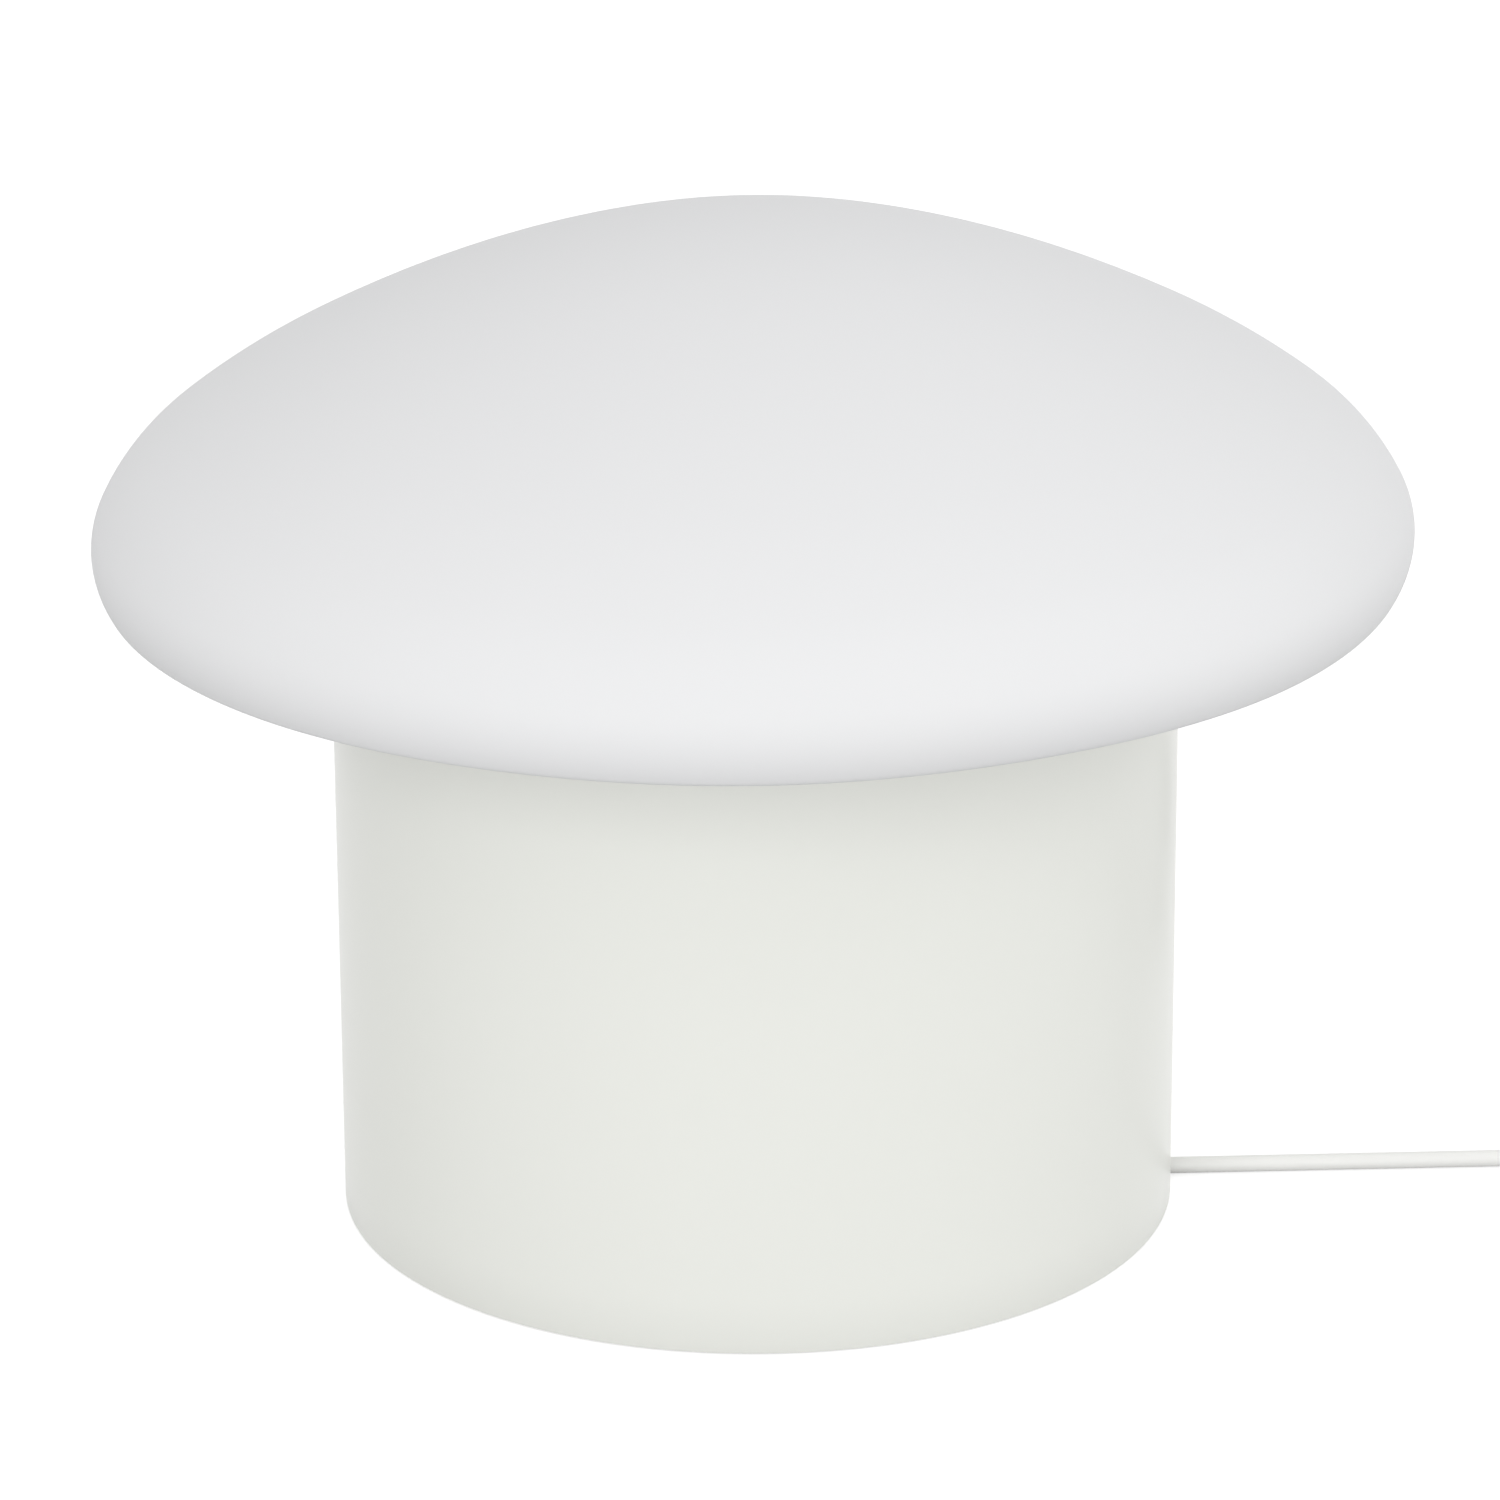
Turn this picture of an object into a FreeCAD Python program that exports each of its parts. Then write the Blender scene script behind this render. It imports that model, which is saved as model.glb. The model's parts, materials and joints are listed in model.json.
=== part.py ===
"""Mushroom table lamp: an opal glass dome that rests on a painted steel drum, with its lampholder, bulb and flex.

Sizes are in millimetres. The origin is on the table under the centre of the drum, +Z is up, and the flex leaves
the drum towards +X. Threads are left out: a screw is a plain shank in a hole of its own size.
"""

import FreeCAD, Part
import math
import os

from FreeCAD import Vector

# ---------------------------------------------------------------- fits
FIT = 0.05            # a screw, stem or bush in its hole, on the radius
RUNNING_FIT = 0.06    # something that turns or slides in its seat, on the radius
SOFT_GAP = 0.25       # between a soft face and the part that rests on it
LOOSE_GAP = 0.5       # between parts that only pass each other

# ---------------------------------------------------------------- drum
drum_radius = 115.0
drum_top = 180.2            # upper face of the turned-in rim
drum_bottom = 0.2           # the wall stops just short of the table
drum_wall = 1.5
drum_rim_radius = 4.0       # outside of the bend from wall to rim
drum_rim_width = 12.0       # from the outside of the wall to the round opening

tab_angles = (60.0, 180.0, 300.0)
tab_thickness = 3.0
tab_height = 15.0
tab_reach = 15.0
tab_width = 16.0

# ---------------------------------------------------------------- weight in the foot of the drum
weight_bottom = 7.0
weight_thickness = 8.0
weight_chamfer = 1.0
slot_length = 47.0          # the flex rises through a slot that runs in from the drum wall
slot_width = 14.0

foot_count = 4
foot_inset = 23.0           # from the outside of the drum to the centre of a foot
foot_radius = 12.0
foot_taper = 1.0
foot_edge = 0.8
foot_stem_radius = 3.0
foot_stem_length = 6.0

drum_screw_radius = 2.0
drum_screw_head_radius = 4.0
drum_screw_head_height = 2.3
drum_screw_beyond = 1.5     # length that stands out above a tab
drum_screw_socket = 2.5     # across the flats of the hexagon socket

# ---------------------------------------------------------------- glass dome
glass_wall = 3.5
dome_radius = 178.1         # at its widest
lip_arc_radius = 3.0
lip_inner_radius = 5.0
edge_arc_radius = 18.7
brow_arc_radius = 52.1
shoulder_arc_radius = 201.5
flank_arc_radius = 362.0
lip_normal = -30.4          # where one arc hands over to the next: angle of the outward normal above level
edge_normal = 25.5
brow_normal = 51.6
shoulder_normal = 61.3
flank_normal = 74.1
neck_length = 12.0
neck_fillet = 4.0
neck_play = 1.5             # between the neck and the ring that centres it

# ---------------------------------------------------------------- silicone ring between drum and glass
ring_thickness = 1.6
ring_margin = 0.5           # from the ring's edge to the start of the drum's bend
ring_lip_thickness = 1.4
ring_lip_depth = 5.0

# ---------------------------------------------------------------- bracket and lampholder
bracket_drop = 83.2         # from the drum's rim down to the top of the bracket
bracket_width = 25.0
bracket_thickness = 2.0
bracket_half_span = 33.0
bracket_foot = 19.0
bracket_bend_radius = 2.5   # inside of each bend
bracket_screw_radius = 2.0

nipple_radius = 5.0
nipple_bore_radius = 3.5
nipple_below = 8.0
nipple_above = 8.0
nipple_nut_flats = 14.0
nipple_nut_height = 3.5
nipple_washer_radius = 9.0
nipple_washer_thickness = 1.0

holder_wall = 2.7
holder_cap_height = 22.0
holder_boss_radius = 8.5
holder_boss_height = 5.0
holder_cap_bend = 6.0
holder_shell_height = 33.0
holder_taper = 1.5
holder_lip_height = 2.0
holder_mouth_play = 2.8     # between the screw shell and the mouth
insert_height = 9.0
insert_collar = 1.0
insert_collar_reach = 0.7
screw_shell_wall = 0.5
screw_shell_height = 21.0
screw_shell_floor = 3.0     # width of the ring that its floor leaves, inside the bulb's cap
screw_shell_floor_thickness = 0.6
contact_strip_width = 6.0
contact_strip_thickness = 0.8
contact_strip_rise = 2.2
contact_strip_inset = 4.8   # from the radius of the bulb's cap to the end of the strip
terminal_offset = 11.0
terminal_screw_radius = 1.75
terminal_head_radius = 2.6

# ---------------------------------------------------------------- screw-base bulb
bulb_length = 108.0
bulb_globe_radius = 30.0
bulb_wall = 1.2
bulb_cap_radius = 13.1
bulb_cap_height = 18.0
bulb_cap_wall = 0.4
bulb_tip_radius = 4.8
bulb_tip_height = 1.8
bulb_insulator_height = 4.5
bulb_collar_step = 1.9
bulb_housing_height = 33.0
bulb_belly_normal = -35.0   # below this the globe runs on as a cone

# ---------------------------------------------------------------- flex
flex_diameter = 4.6
core_diameter = 1.9
core_spacing = 2.2
entry_fit = 0.1
bush_flange = 1.2
bush_flange_reach = 1.5
bush_wall = 1.0

grip_inset = 16.0           # from the end of the slot to the centre of the grip
grip_width = 12.0
grip_half_length = 14.0
grip_cover = 2.5
grip_edge_radius = 1.2
grip_screw_offset = 9.5
grip_screw_radius = 1.5

# The route outside the lamp, point by point: on the table, except where it climbs into the switch or the plug.
flex_rest = flex_diameter / 2
switch_entry_height = 6.5
plug_entry_height = 6.85
lead_route = [
    (drum_radius, 0.0, flex_rest),
    (226.0, 0.0, flex_rest),
    (252.0, 24.0, flex_rest),
    (255.0, 66.0, flex_rest),
    (253.0, 97.0, switch_entry_height),
    (253.0, 112.0, switch_entry_height),
]
link_route = [
    (253.0, 174.0, switch_entry_height),
    (253.0, 187.0, switch_entry_height),
    (253.0, 210.0, flex_rest),
    (253.0, 226.0, flex_rest),
]

# The coil: turns in each layer, from the bottom layer up, wound clockwise as seen from above.
coil_turns = (1.75, 2.0, 2.0, 1.75)
coil_gap = 0.6
coil_start_radius = 31.6
coil_lead = flex_diameter   # straight ends, one diameter long

# ---------------------------------------------------------------- in-line switch
switch_width = 26.0
switch_height = 16.0
switch_snout_width = 12.0
switch_shoulder = 20.0      # half the length of the full-width middle
switch_shoulder_radius = 9.0
switch_wall = 2.0
switch_edge_radius = 2.5
switch_screw_radius = 1.25
switch_screw_depth = 5.0    # above the joint between the shells
switch_screw_x = 7.5
switch_screw_y = 15.5
switch_post_wall = 1.6
rocker_length = 19.2
rocker_width = 12.0
rocker_pivot_height = 12.0
rocker_axle_radius = 1.5
rocker_axle_reach = 2.2
rocker_ear_width = 7.0
rocker_under = 2.6          # underside, below the pivot
rocker_middle_rise = 3.2    # dished top, above the pivot, in the middle and at the ends
rocker_end_rise = 4.8
rocker_throw = 14.0         # degrees from one side to the other
rocker_gap = 0.35

# ---------------------------------------------------------------- two-pin plug
plug_length = 29.0
plug_face_width = 35.3
plug_face_height = 13.7
plug_rear_width = 18.0
plug_rear_height = 12.0
plug_corner_radius = 2.5
plug_flare = 0.55           # share of the length over which the body widens
plug_sleeve_length = 22.0
plug_sleeve_radius = 4.6
plug_sleeve_wall = 0.9
pin_spacing = 18.6
pin_radius = 2.0
pin_core_radius = 1.5
pin_length = 19.0
pin_cover_length = 10.0     # of insulating sleeve, from the plug's face
pin_cover_wall = 0.4
pin_anchor = 6.0
pin_tip_radius = 1.2

# ---------------------------------------------------------------- sizes that follow from the ones above
drum_inner_radius = drum_radius - drum_wall
drum_opening_radius = drum_radius - drum_rim_width
weight_top = weight_bottom + weight_thickness
slot_end = drum_radius - slot_length
foot_circle = drum_radius - foot_inset
drum_screw_circle = drum_inner_radius - FIT - (tab_reach + tab_thickness) / 2
drum_screw_length = weight_thickness + tab_thickness + drum_screw_beyond
ring_lip_inner = drum_opening_radius - FIT - ring_lip_thickness
neck_radius = ring_lip_inner - neck_play
glass_seat = drum_top + ring_thickness + SOFT_GAP
bracket_top = drum_top - bracket_drop
bracket_screw_station = bracket_half_span + bracket_bend_radius + bracket_thickness + bracket_foot / 2 - 1.5
screw_shell_radius = bulb_cap_radius + RUNNING_FIT
holder_mouth_radius = screw_shell_radius + screw_shell_wall + holder_mouth_play
holder_radius = holder_mouth_radius + holder_taper + 2.0
holder_joint = bracket_top + holder_cap_height
insert_low = holder_joint - insert_height / 2
insert_high = insert_low + insert_height
insert_radius = holder_radius - holder_wall - LOOSE_GAP
bulb_seat = insert_high + contact_strip_rise + contact_strip_thickness
grip_station = slot_end - grip_inset
grip_height = weight_top + flex_rest + entry_fit
notch_radius = flex_diameter / 2 + entry_fit + bush_wall
coil_pitch = flex_diameter + coil_gap
switch_length = link_route[0][1] - lead_route[-1][1]
switch_screw_places = [(side * switch_screw_x, side * switch_screw_y) for side in (-1, 1)]
bracket_screw_places = [(0, side * bracket_screw_station) for side in (-1, 1)]
grip_screw_places = [(grip_station, side * grip_screw_offset) for side in (-1, 1)]

UP = Vector(0, 0, 1)
ALONG_X = Vector(1, 0, 0)
ALONG_Y = Vector(0, 1, 0)
ORIGIN = Vector(0, 0, 0)
PARTS = {}


# ---------------------------------------------------------------- drawing helpers
class Outline:
    """A closed outline of lines and arcs in the XZ plane, as (distance from the Z axis, height)."""

    def __init__(self, x, z):
        self.start = Vector(x, 0, z)
        self.point = self.start
        self.edges = []

    def line_to(self, x, z):
        """Add a straight stretch to a point."""
        end = Vector(x, 0, z)
        if (end - self.point).Length > 1e-6:
            self.edges.append(Part.LineSegment(self.point, end).toShape())
            self.point = end

    def arc(self, radius, normal_from, normal_to):
        """Add an arc that starts here, between two angles of the line from its centre, in degrees."""
        first, last = math.radians(normal_from), math.radians(normal_to)
        middle = (first + last) / 2
        centre = self.point - Vector(math.cos(first), 0, math.sin(first)) * radius
        through = centre + Vector(math.cos(middle), 0, math.sin(middle)) * radius
        end = centre + Vector(math.cos(last), 0, math.sin(last)) * radius
        self.edges.append(Part.Arc(self.point, through, end).toShape())
        self.point = end

    def face(self):
        """Close the outline and return its face."""
        self.line_to(self.start.x, self.start.z)
        return Part.Face(Part.Wire(self.edges))

    def turned(self, angle=360.0, middle=180.0):
        """The solid that the outline sweeps about the Z axis, over an angle centred on a direction."""
        solid = self.face().revolve(ORIGIN, UP, angle)
        return spun(solid, middle - angle / 2)

    def extruded(self, y_low, y_high):
        """The prism of the outline between two places along Y."""
        face = self.face()
        face.translate(Vector(0, y_low, 0))
        return face.extrude(Vector(0, y_high - y_low, 0))


def polyline(points):
    """An outline through points, with no arcs."""
    outline = Outline(*points[0])
    for x, z in points[1:]:
        outline.line_to(x, z)
    return outline


def spun(shape, angle):
    """A copy of a shape turned about the Z axis."""
    copy = shape.copy()
    copy.rotate(ORIGIN, UP, angle)
    return copy


def moved(shape, x, y, z=0.0):
    """A copy of a shape moved to another place."""
    copy = shape.copy()
    copy.translate(Vector(x, y, z))
    return copy


def cylinder(radius, low, high, x=0.0, y=0.0):
    """An upright cylinder between two heights."""
    return Part.makeCylinder(radius, high - low, Vector(x, y, low))


def block(x_low, x_high, y_low, y_high, z_low, z_high):
    """A box between two corners."""
    return Part.makeBox(x_high - x_low, y_high - y_low, z_high - z_low, Vector(x_low, y_low, z_low))


def ring(inner, outer, low, high):
    """A plain ring about the Z axis."""
    return cylinder(outer, low, high).cut(cylinder(inner, low, high))


def hexagon(flats, low, high):
    """A hexagonal prism about the Z axis, by its size across the flats."""
    points = []
    for corner in range(7):
        x, y = on_circle(flats / math.sqrt(3), 60 * corner)
        points.append(Vector(x, y, low))
    return Part.Face(Part.makePolygon(points)).extrude(UP * (high - low))


def on_circle(radius, angle):
    """The x and y of a point on a circle about the Z axis."""
    return radius * math.cos(math.radians(angle)), radius * math.sin(math.radians(angle))


def keep(name, *shapes):
    """Hold the solids of one node under its name."""
    solids = [solid for shape in shapes for solid in shape.removeSplitter().Solids]
    PARTS[name] = solids[0] if len(solids) == 1 else Part.makeCompound(solids)


def pan_screw(shank_radius, seat, depth):
    """A pan-head screw with a hexagon socket, pointing down, with the underside of its head at the seat."""
    head_radius = 1.9 * shank_radius
    head_height = 1.2 * shank_radius
    top = seat + head_height
    screw = polyline([
        (0, seat - depth),
        (shank_radius, seat - depth),
        (shank_radius, seat),
        (head_radius, seat),
        (head_radius, seat + head_height / 2),
        (head_radius - head_height / 2, top),
        (0, top),
    ]).turned()
    return screw.cut(hexagon(1.2 * shank_radius, seat + head_height * 0.4, top + 1))


# ---------------------------------------------------------------- helpers for the flex
def arc_edge(start, tangent, end):
    """The arc that leaves a point along a tangent and ends at another point, or a line if it is straight."""
    chord = end - start
    sideways = chord - tangent * chord.dot(tangent)
    if sideways.Length < 1e-6 * chord.Length:
        return Part.LineSegment(start, end).toShape()
    radius = chord.Length ** 2 / (2 * sideways.Length)
    centre = start + sideways.normalize() * radius
    outward = (start + end) * 0.5 - centre
    return Part.Arc(start, centre + outward.normalize() * radius, end).toShape()


def biarc(start, start_way, end, end_way):
    """Two arcs that join two points and share a tangent where they meet."""
    chord = end - start
    ways = start_way + end_way
    spread = 2 * (1 - start_way.dot(end_way))
    reach = (-chord.dot(ways) + math.sqrt(chord.dot(ways) ** 2 + spread * chord.dot(chord))) / spread
    first_corner = start + start_way * reach
    second_corner = end - end_way * reach
    middle = (first_corner + second_corner) * 0.5
    middle_way = (second_corner - first_corner).normalize()
    return [arc_edge(start, start_way, middle), arc_edge(middle, middle_way, end)]


def route_edges(name, points, diameter):
    """Straight runs joined by tangent arcs, each as large as its two runs allow."""
    points = [Vector(*point) for point in points]
    edges = []
    radii = []
    here = points[0]
    for before, corner, after in zip(points, points[1:], points[2:]):
        way_in = (corner - before).normalize()
        way_out = (after - corner).normalize()
        reach = 0.45 * min((corner - before).Length, (after - corner).Length)
        half_turn = math.acos(way_in.dot(way_out)) / 2
        radii.append(reach / math.tan(half_turn))
        arc_start = corner - way_in * reach
        edges.append(Part.LineSegment(here, arc_start).toShape())
        here = corner + way_out * reach
        edges.append(arc_edge(arc_start, way_in, here))
    edges.append(Part.LineSegment(here, points[-1]).toShape())
    least = round(min(radii) / diameter, 1)
    print(name, "radii", [round(r, 1) for r in radii], "mm, least", least, "diameters")
    return edges


def round_tube(name, edges, diameter):
    """A round solid along a chain of edges, with its volume held against its section times its length."""
    wire = Part.Wire(edges)
    start = edges[0].valueAt(edges[0].FirstParameter)
    way = edges[0].tangentAt(edges[0].FirstParameter)
    section = Part.Wire(Part.Circle(start, way, diameter / 2).toShape())
    tube = wire.makePipeShell([section], True, False)
    expected = math.pi * diameter ** 2 / 4 * wire.Length
    print(name, "length", round(wire.Length, 1), "mm, volume over section times length",
          round(tube.Volume / expected, 5))
    return tube


def make_flex(name, route):
    """A plain stretch of flex along a route."""
    keep(name, round_tube(name, route_edges(name, route, flex_diameter), flex_diameter))


# ---------------------------------------------------------------- drum and what closes its foot
def arch(radius, x_low, x_high):
    """A prism along X, round over the flex where it crosses the drum wall and open at the drum's lower edge."""
    crown = Part.makeCylinder(radius, x_high - x_low, Vector(x_low, 0, flex_rest), ALONG_X)
    legs = block(x_low, x_high, -radius, radius, drum_bottom, flex_rest)
    below = block(x_low, x_high, -radius, radius, drum_bottom - 2 * radius, drum_bottom)
    return crown.fuse(legs).cut(below)


def make_drum():
    """The steel wall with its turned-in rim and a low notch for the flex."""
    inner_bend = drum_rim_radius - drum_wall
    outline = Outline(drum_inner_radius, drum_bottom)
    outline.line_to(drum_radius, drum_bottom)
    outline.line_to(drum_radius, drum_top - drum_rim_radius)
    outline.arc(drum_rim_radius, 0, 90)
    outline.line_to(drum_opening_radius, drum_top)
    outline.line_to(drum_opening_radius, drum_top - drum_wall)
    outline.line_to(drum_inner_radius - inner_bend, drum_top - drum_wall)
    outline.arc(inner_bend, 90, 0)
    notch = arch(notch_radius, drum_inner_radius - 5, drum_radius + 5)
    keep("drum", outline.turned().cut(notch))


def make_drum_tabs():
    """Angle tabs, spot-welded inside the wall, that the weight is screwed to."""
    wall = drum_inner_radius - FIT
    outline = polyline([
        (wall, weight_top),
        (wall, weight_top + tab_height),
        (wall - tab_thickness, weight_top + tab_height),
        (wall - tab_thickness, weight_top + tab_thickness),
        (wall - tab_reach, weight_top + tab_thickness),
        (wall - tab_reach, weight_top),
    ])
    tabs = []
    for angle in tab_angles:
        x, y = on_circle(drum_screw_circle, angle)
        hole = cylinder(drum_screw_radius + FIT, weight_top - 1, weight_top + tab_height, x, y)
        tabs.append(outline.turned(math.degrees(tab_width / wall), angle).cut(hole))
    keep("drum_tabs", *tabs)


def drum_screw(slack):
    """A countersunk screw that points up from the underside of the weight; with slack, the hole for it."""
    return polyline([
        (0, weight_bottom),
        (drum_screw_head_radius + slack, weight_bottom),
        (drum_screw_radius + slack, weight_bottom + drum_screw_head_height + slack),
        (drum_screw_radius + slack, weight_bottom + drum_screw_length + slack),
        (0, weight_bottom + drum_screw_length + slack),
    ]).turned()


def make_drum_screws():
    """The screws that draw the weight up against the tabs."""
    socket = hexagon(drum_screw_socket, weight_bottom - 1, weight_bottom + 1.4)
    screw = drum_screw(0).cut(socket)
    keep("drum_screws", *[moved(screw, *on_circle(drum_screw_circle, angle)) for angle in tab_angles])


def foot_places():
    """The centres of the rubber feet."""
    return [on_circle(foot_circle, 45 + 360 / foot_count * foot) for foot in range(foot_count)]


def make_weight():
    """The cast disc that steadies the lamp, with the slot that the flex comes up through."""
    radius = drum_inner_radius - LOOSE_GAP
    disc = polyline([
        (0, weight_bottom),
        (radius - weight_chamfer, weight_bottom),
        (radius, weight_bottom + weight_chamfer),
        (radius, weight_top - weight_chamfer),
        (radius - weight_chamfer, weight_top),
        (0, weight_top),
    ]).turned()
    low, high = weight_bottom - 1, weight_top + 1
    half = slot_width / 2
    cuts = [
        block(slot_end + half, drum_radius, -half, half, low, high),
        cylinder(half, low, high, slot_end + half),
    ]
    cuts += [moved(drum_screw(FIT), *on_circle(drum_screw_circle, angle)) for angle in tab_angles]
    stem_end = weight_bottom + foot_stem_length + FIT
    cuts += [cylinder(foot_stem_radius + FIT, low, stem_end, x, y) for x, y in foot_places()]
    cuts += [cylinder(bracket_screw_radius + FIT, low, high, x, y) for x, y in bracket_screw_places]
    cuts += [cylinder(grip_screw_radius + FIT, low, high, x, y) for x, y in grip_screw_places]
    for cut in cuts:
        disc = disc.cut(cut)
    keep("weight", disc)


def make_feet():
    """Rubber feet whose stems are pushed into the weight."""
    foot = polyline([
        (0, 0),
        (foot_radius - foot_edge, 0),
        (foot_radius, foot_edge),
        (foot_radius - foot_taper, weight_bottom),
        (foot_stem_radius, weight_bottom),
        (foot_stem_radius, weight_bottom + foot_stem_length),
        (0, weight_bottom + foot_stem_length),
    ]).turned()
    keep("feet", *[moved(foot, x, y) for x, y in foot_places()])


# ---------------------------------------------------------------- glass dome and its seat
def dome_arcs(inset):
    """The arcs of the dome from its widest point up, set in from the outer surface, as (radius, end normal)."""
    arcs = []
    x = dome_radius - inset
    start = 0.0
    for radius, normal in [(edge_arc_radius, edge_normal), (brow_arc_radius, brow_normal),
                           (shoulder_arc_radius, shoulder_normal), (flank_arc_radius, flank_normal)]:
        arcs.append((radius - inset, normal))
        x -= (radius - inset) * (math.cos(math.radians(start)) - math.cos(math.radians(normal)))
        start = normal
    # The crown closes on the axis, whatever the width of the dome.
    arcs.append((x / math.cos(math.radians(flank_normal)), 90.0))
    return arcs


def make_glass():
    """The blown glass: a dome, a tight lip, a flat underside, and a neck that drops into the drum."""
    lip = math.radians(lip_normal)
    lip_x = dome_radius - edge_arc_radius + (edge_arc_radius - lip_arc_radius) * math.cos(lip)
    widest = glass_seat + lip_arc_radius - (edge_arc_radius - lip_arc_radius) * math.sin(lip)
    neck_inner = neck_radius - glass_wall
    inner_floor = glass_seat + glass_wall
    inner_fillet = neck_fillet + glass_wall

    outline = Outline(neck_inner, glass_seat - neck_length)
    outline.line_to(neck_radius, glass_seat - neck_length)
    outline.line_to(neck_radius, glass_seat - neck_fillet)
    outline.arc(neck_fillet, 180, 90)
    outline.line_to(lip_x, glass_seat)
    outline.arc(lip_arc_radius, -90, lip_normal)
    outline.arc(edge_arc_radius, lip_normal, 0)
    start = 0.0
    for radius, normal in dome_arcs(0.0):
        outline.arc(radius, start, normal)
        start = normal
    print("glass widest at", round(widest, 2), "mm, top at", round(outline.point.z, 2), "mm")

    # The inside, from the crown down to the inner lip, which touches the inner edge arc and the inner floor.
    outline.line_to(0, outline.point.z - glass_wall)
    arcs = dome_arcs(glass_wall)
    ends = [0.0] + [normal for radius, normal in arcs]
    for index in reversed(range(len(arcs))):
        outline.arc(arcs[index][0], ends[index + 1], ends[index])
    inner_edge = edge_arc_radius - glass_wall
    drop = widest - inner_floor - lip_inner_radius
    corner = -math.degrees(math.asin(drop / (inner_edge - lip_inner_radius)))
    outline.arc(inner_edge, 0, corner)
    outline.arc(lip_inner_radius, corner, -90)
    outline.line_to(neck_inner + inner_fillet, inner_floor)
    outline.arc(inner_fillet, 90, 180)
    keep("glass_shade", outline.turned())


def make_seat_ring():
    """The silicone ring on the drum's rim, with a lip that lines the opening and centres the glass."""
    lip_outer = drum_opening_radius - FIT
    ring_outer = drum_radius - drum_rim_radius - ring_margin
    ring_top = drum_top + ring_thickness
    keep("seat_ring", polyline([
        (ring_lip_inner, drum_top - ring_lip_depth),
        (lip_outer, drum_top - ring_lip_depth),
        (lip_outer, drum_top),
        (ring_outer, drum_top),
        (ring_outer, ring_top),
        (neck_radius + neck_fillet, ring_top),
        (ring_lip_inner, ring_top - neck_fillet),
    ]).turned())


# ---------------------------------------------------------------- bracket, nipple and lampholder
def make_bracket():
    """A strip of steel bent into a bridge, with a foot at each end and a hole for the nipple on top."""
    inner = bracket_bend_radius
    outer = bracket_bend_radius + bracket_thickness
    half = bracket_half_span
    end = half + inner + bracket_thickness + bracket_foot
    outline = Outline(0, bracket_top)
    outline.line_to(half - outer, bracket_top)
    outline.arc(outer, 90, 0)
    outline.line_to(half, weight_top + outer)
    outline.arc(inner, 180, 270)
    outline.line_to(end, weight_top + bracket_thickness)
    outline.line_to(end, weight_top)
    outline.line_to(half + inner, weight_top)
    outline.arc(outer, 270, 180)
    outline.line_to(half - bracket_thickness, bracket_top - outer)
    outline.arc(inner, 0, 90)
    outline.line_to(0, bracket_top - bracket_thickness)
    arm = outline.extruded(-bracket_width / 2, bracket_width / 2)
    strip = spun(arm, 90).fuse(spun(arm, -90))
    strip = strip.cut(cylinder(nipple_radius + FIT, bracket_top - 5, bracket_top + 5))
    for x, y in bracket_screw_places:
        strip = strip.cut(cylinder(bracket_screw_radius + FIT, weight_top - 1, weight_top + 5, x, y))
    keep("bracket", strip)
    seat = weight_top + bracket_thickness
    screw = pan_screw(bracket_screw_radius, seat, seat - weight_bottom - 1)
    keep("bracket_screws", *[moved(screw, x, y) for x, y in bracket_screw_places])


def make_nipple():
    """The hollow threaded tube through the bracket, with the washer and nut that hold it from below."""
    plate_under = bracket_top - bracket_thickness
    washer_low = plate_under - nipple_washer_thickness
    nut_low = washer_low - nipple_nut_height
    hole = cylinder(nipple_radius + FIT, nut_low - 1, plate_under)
    low, high = plate_under - nipple_below, bracket_top + nipple_above
    keep("nipple", ring(nipple_bore_radius, nipple_radius, low, high))
    keep("nipple_washer", ring(nipple_radius + FIT, nipple_washer_radius, washer_low, plate_under))
    keep("nipple_nut", hexagon(nipple_nut_flats, nut_low, washer_low).cut(hole))


def make_holder_cap():
    """The lower half of the lampholder: a boss on the nipple, a rounded bell, and a step for the insert."""
    low = bracket_top
    inside = holder_radius - holder_wall
    boss_top = low + holder_boss_height
    bell_floor = boss_top + 3.0
    inner_floor = bell_floor + 2.0
    inner_bend = holder_cap_bend - 2.0
    ledge = holder_joint - insert_collar - FIT
    cap = Outline(nipple_radius + FIT, low)
    cap.line_to(holder_boss_radius, low)
    cap.line_to(holder_boss_radius, boss_top)
    cap.line_to(holder_radius - holder_cap_bend, bell_floor)
    cap.arc(holder_cap_bend, -90, 0)
    cap.line_to(holder_radius, holder_joint)
    cap.line_to(inside + insert_collar_reach, holder_joint)
    cap.line_to(inside + insert_collar_reach, ledge)
    cap.line_to(inside, ledge)
    cap.line_to(inside, inner_floor + inner_bend)
    cap.arc(inner_bend, 0, -90)
    cap.line_to(nipple_radius + FIT, inner_floor)
    keep("holder_cap", cap.turned())


def make_holder_shell():
    """The upper half of the lampholder, a tapered sleeve with a mouth that stands clear of the screw shell."""
    inside = holder_radius - holder_wall
    mouth = holder_joint + holder_shell_height
    rim = mouth - holder_lip_height
    keep("holder_shell", polyline([
        (inside, holder_joint),
        (holder_radius, holder_joint),
        (holder_radius - holder_taper, rim),
        (holder_radius - holder_taper - 1.0, mouth),
        (holder_mouth_radius, mouth),
        (holder_mouth_radius, rim),
    ]).turned())


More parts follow.
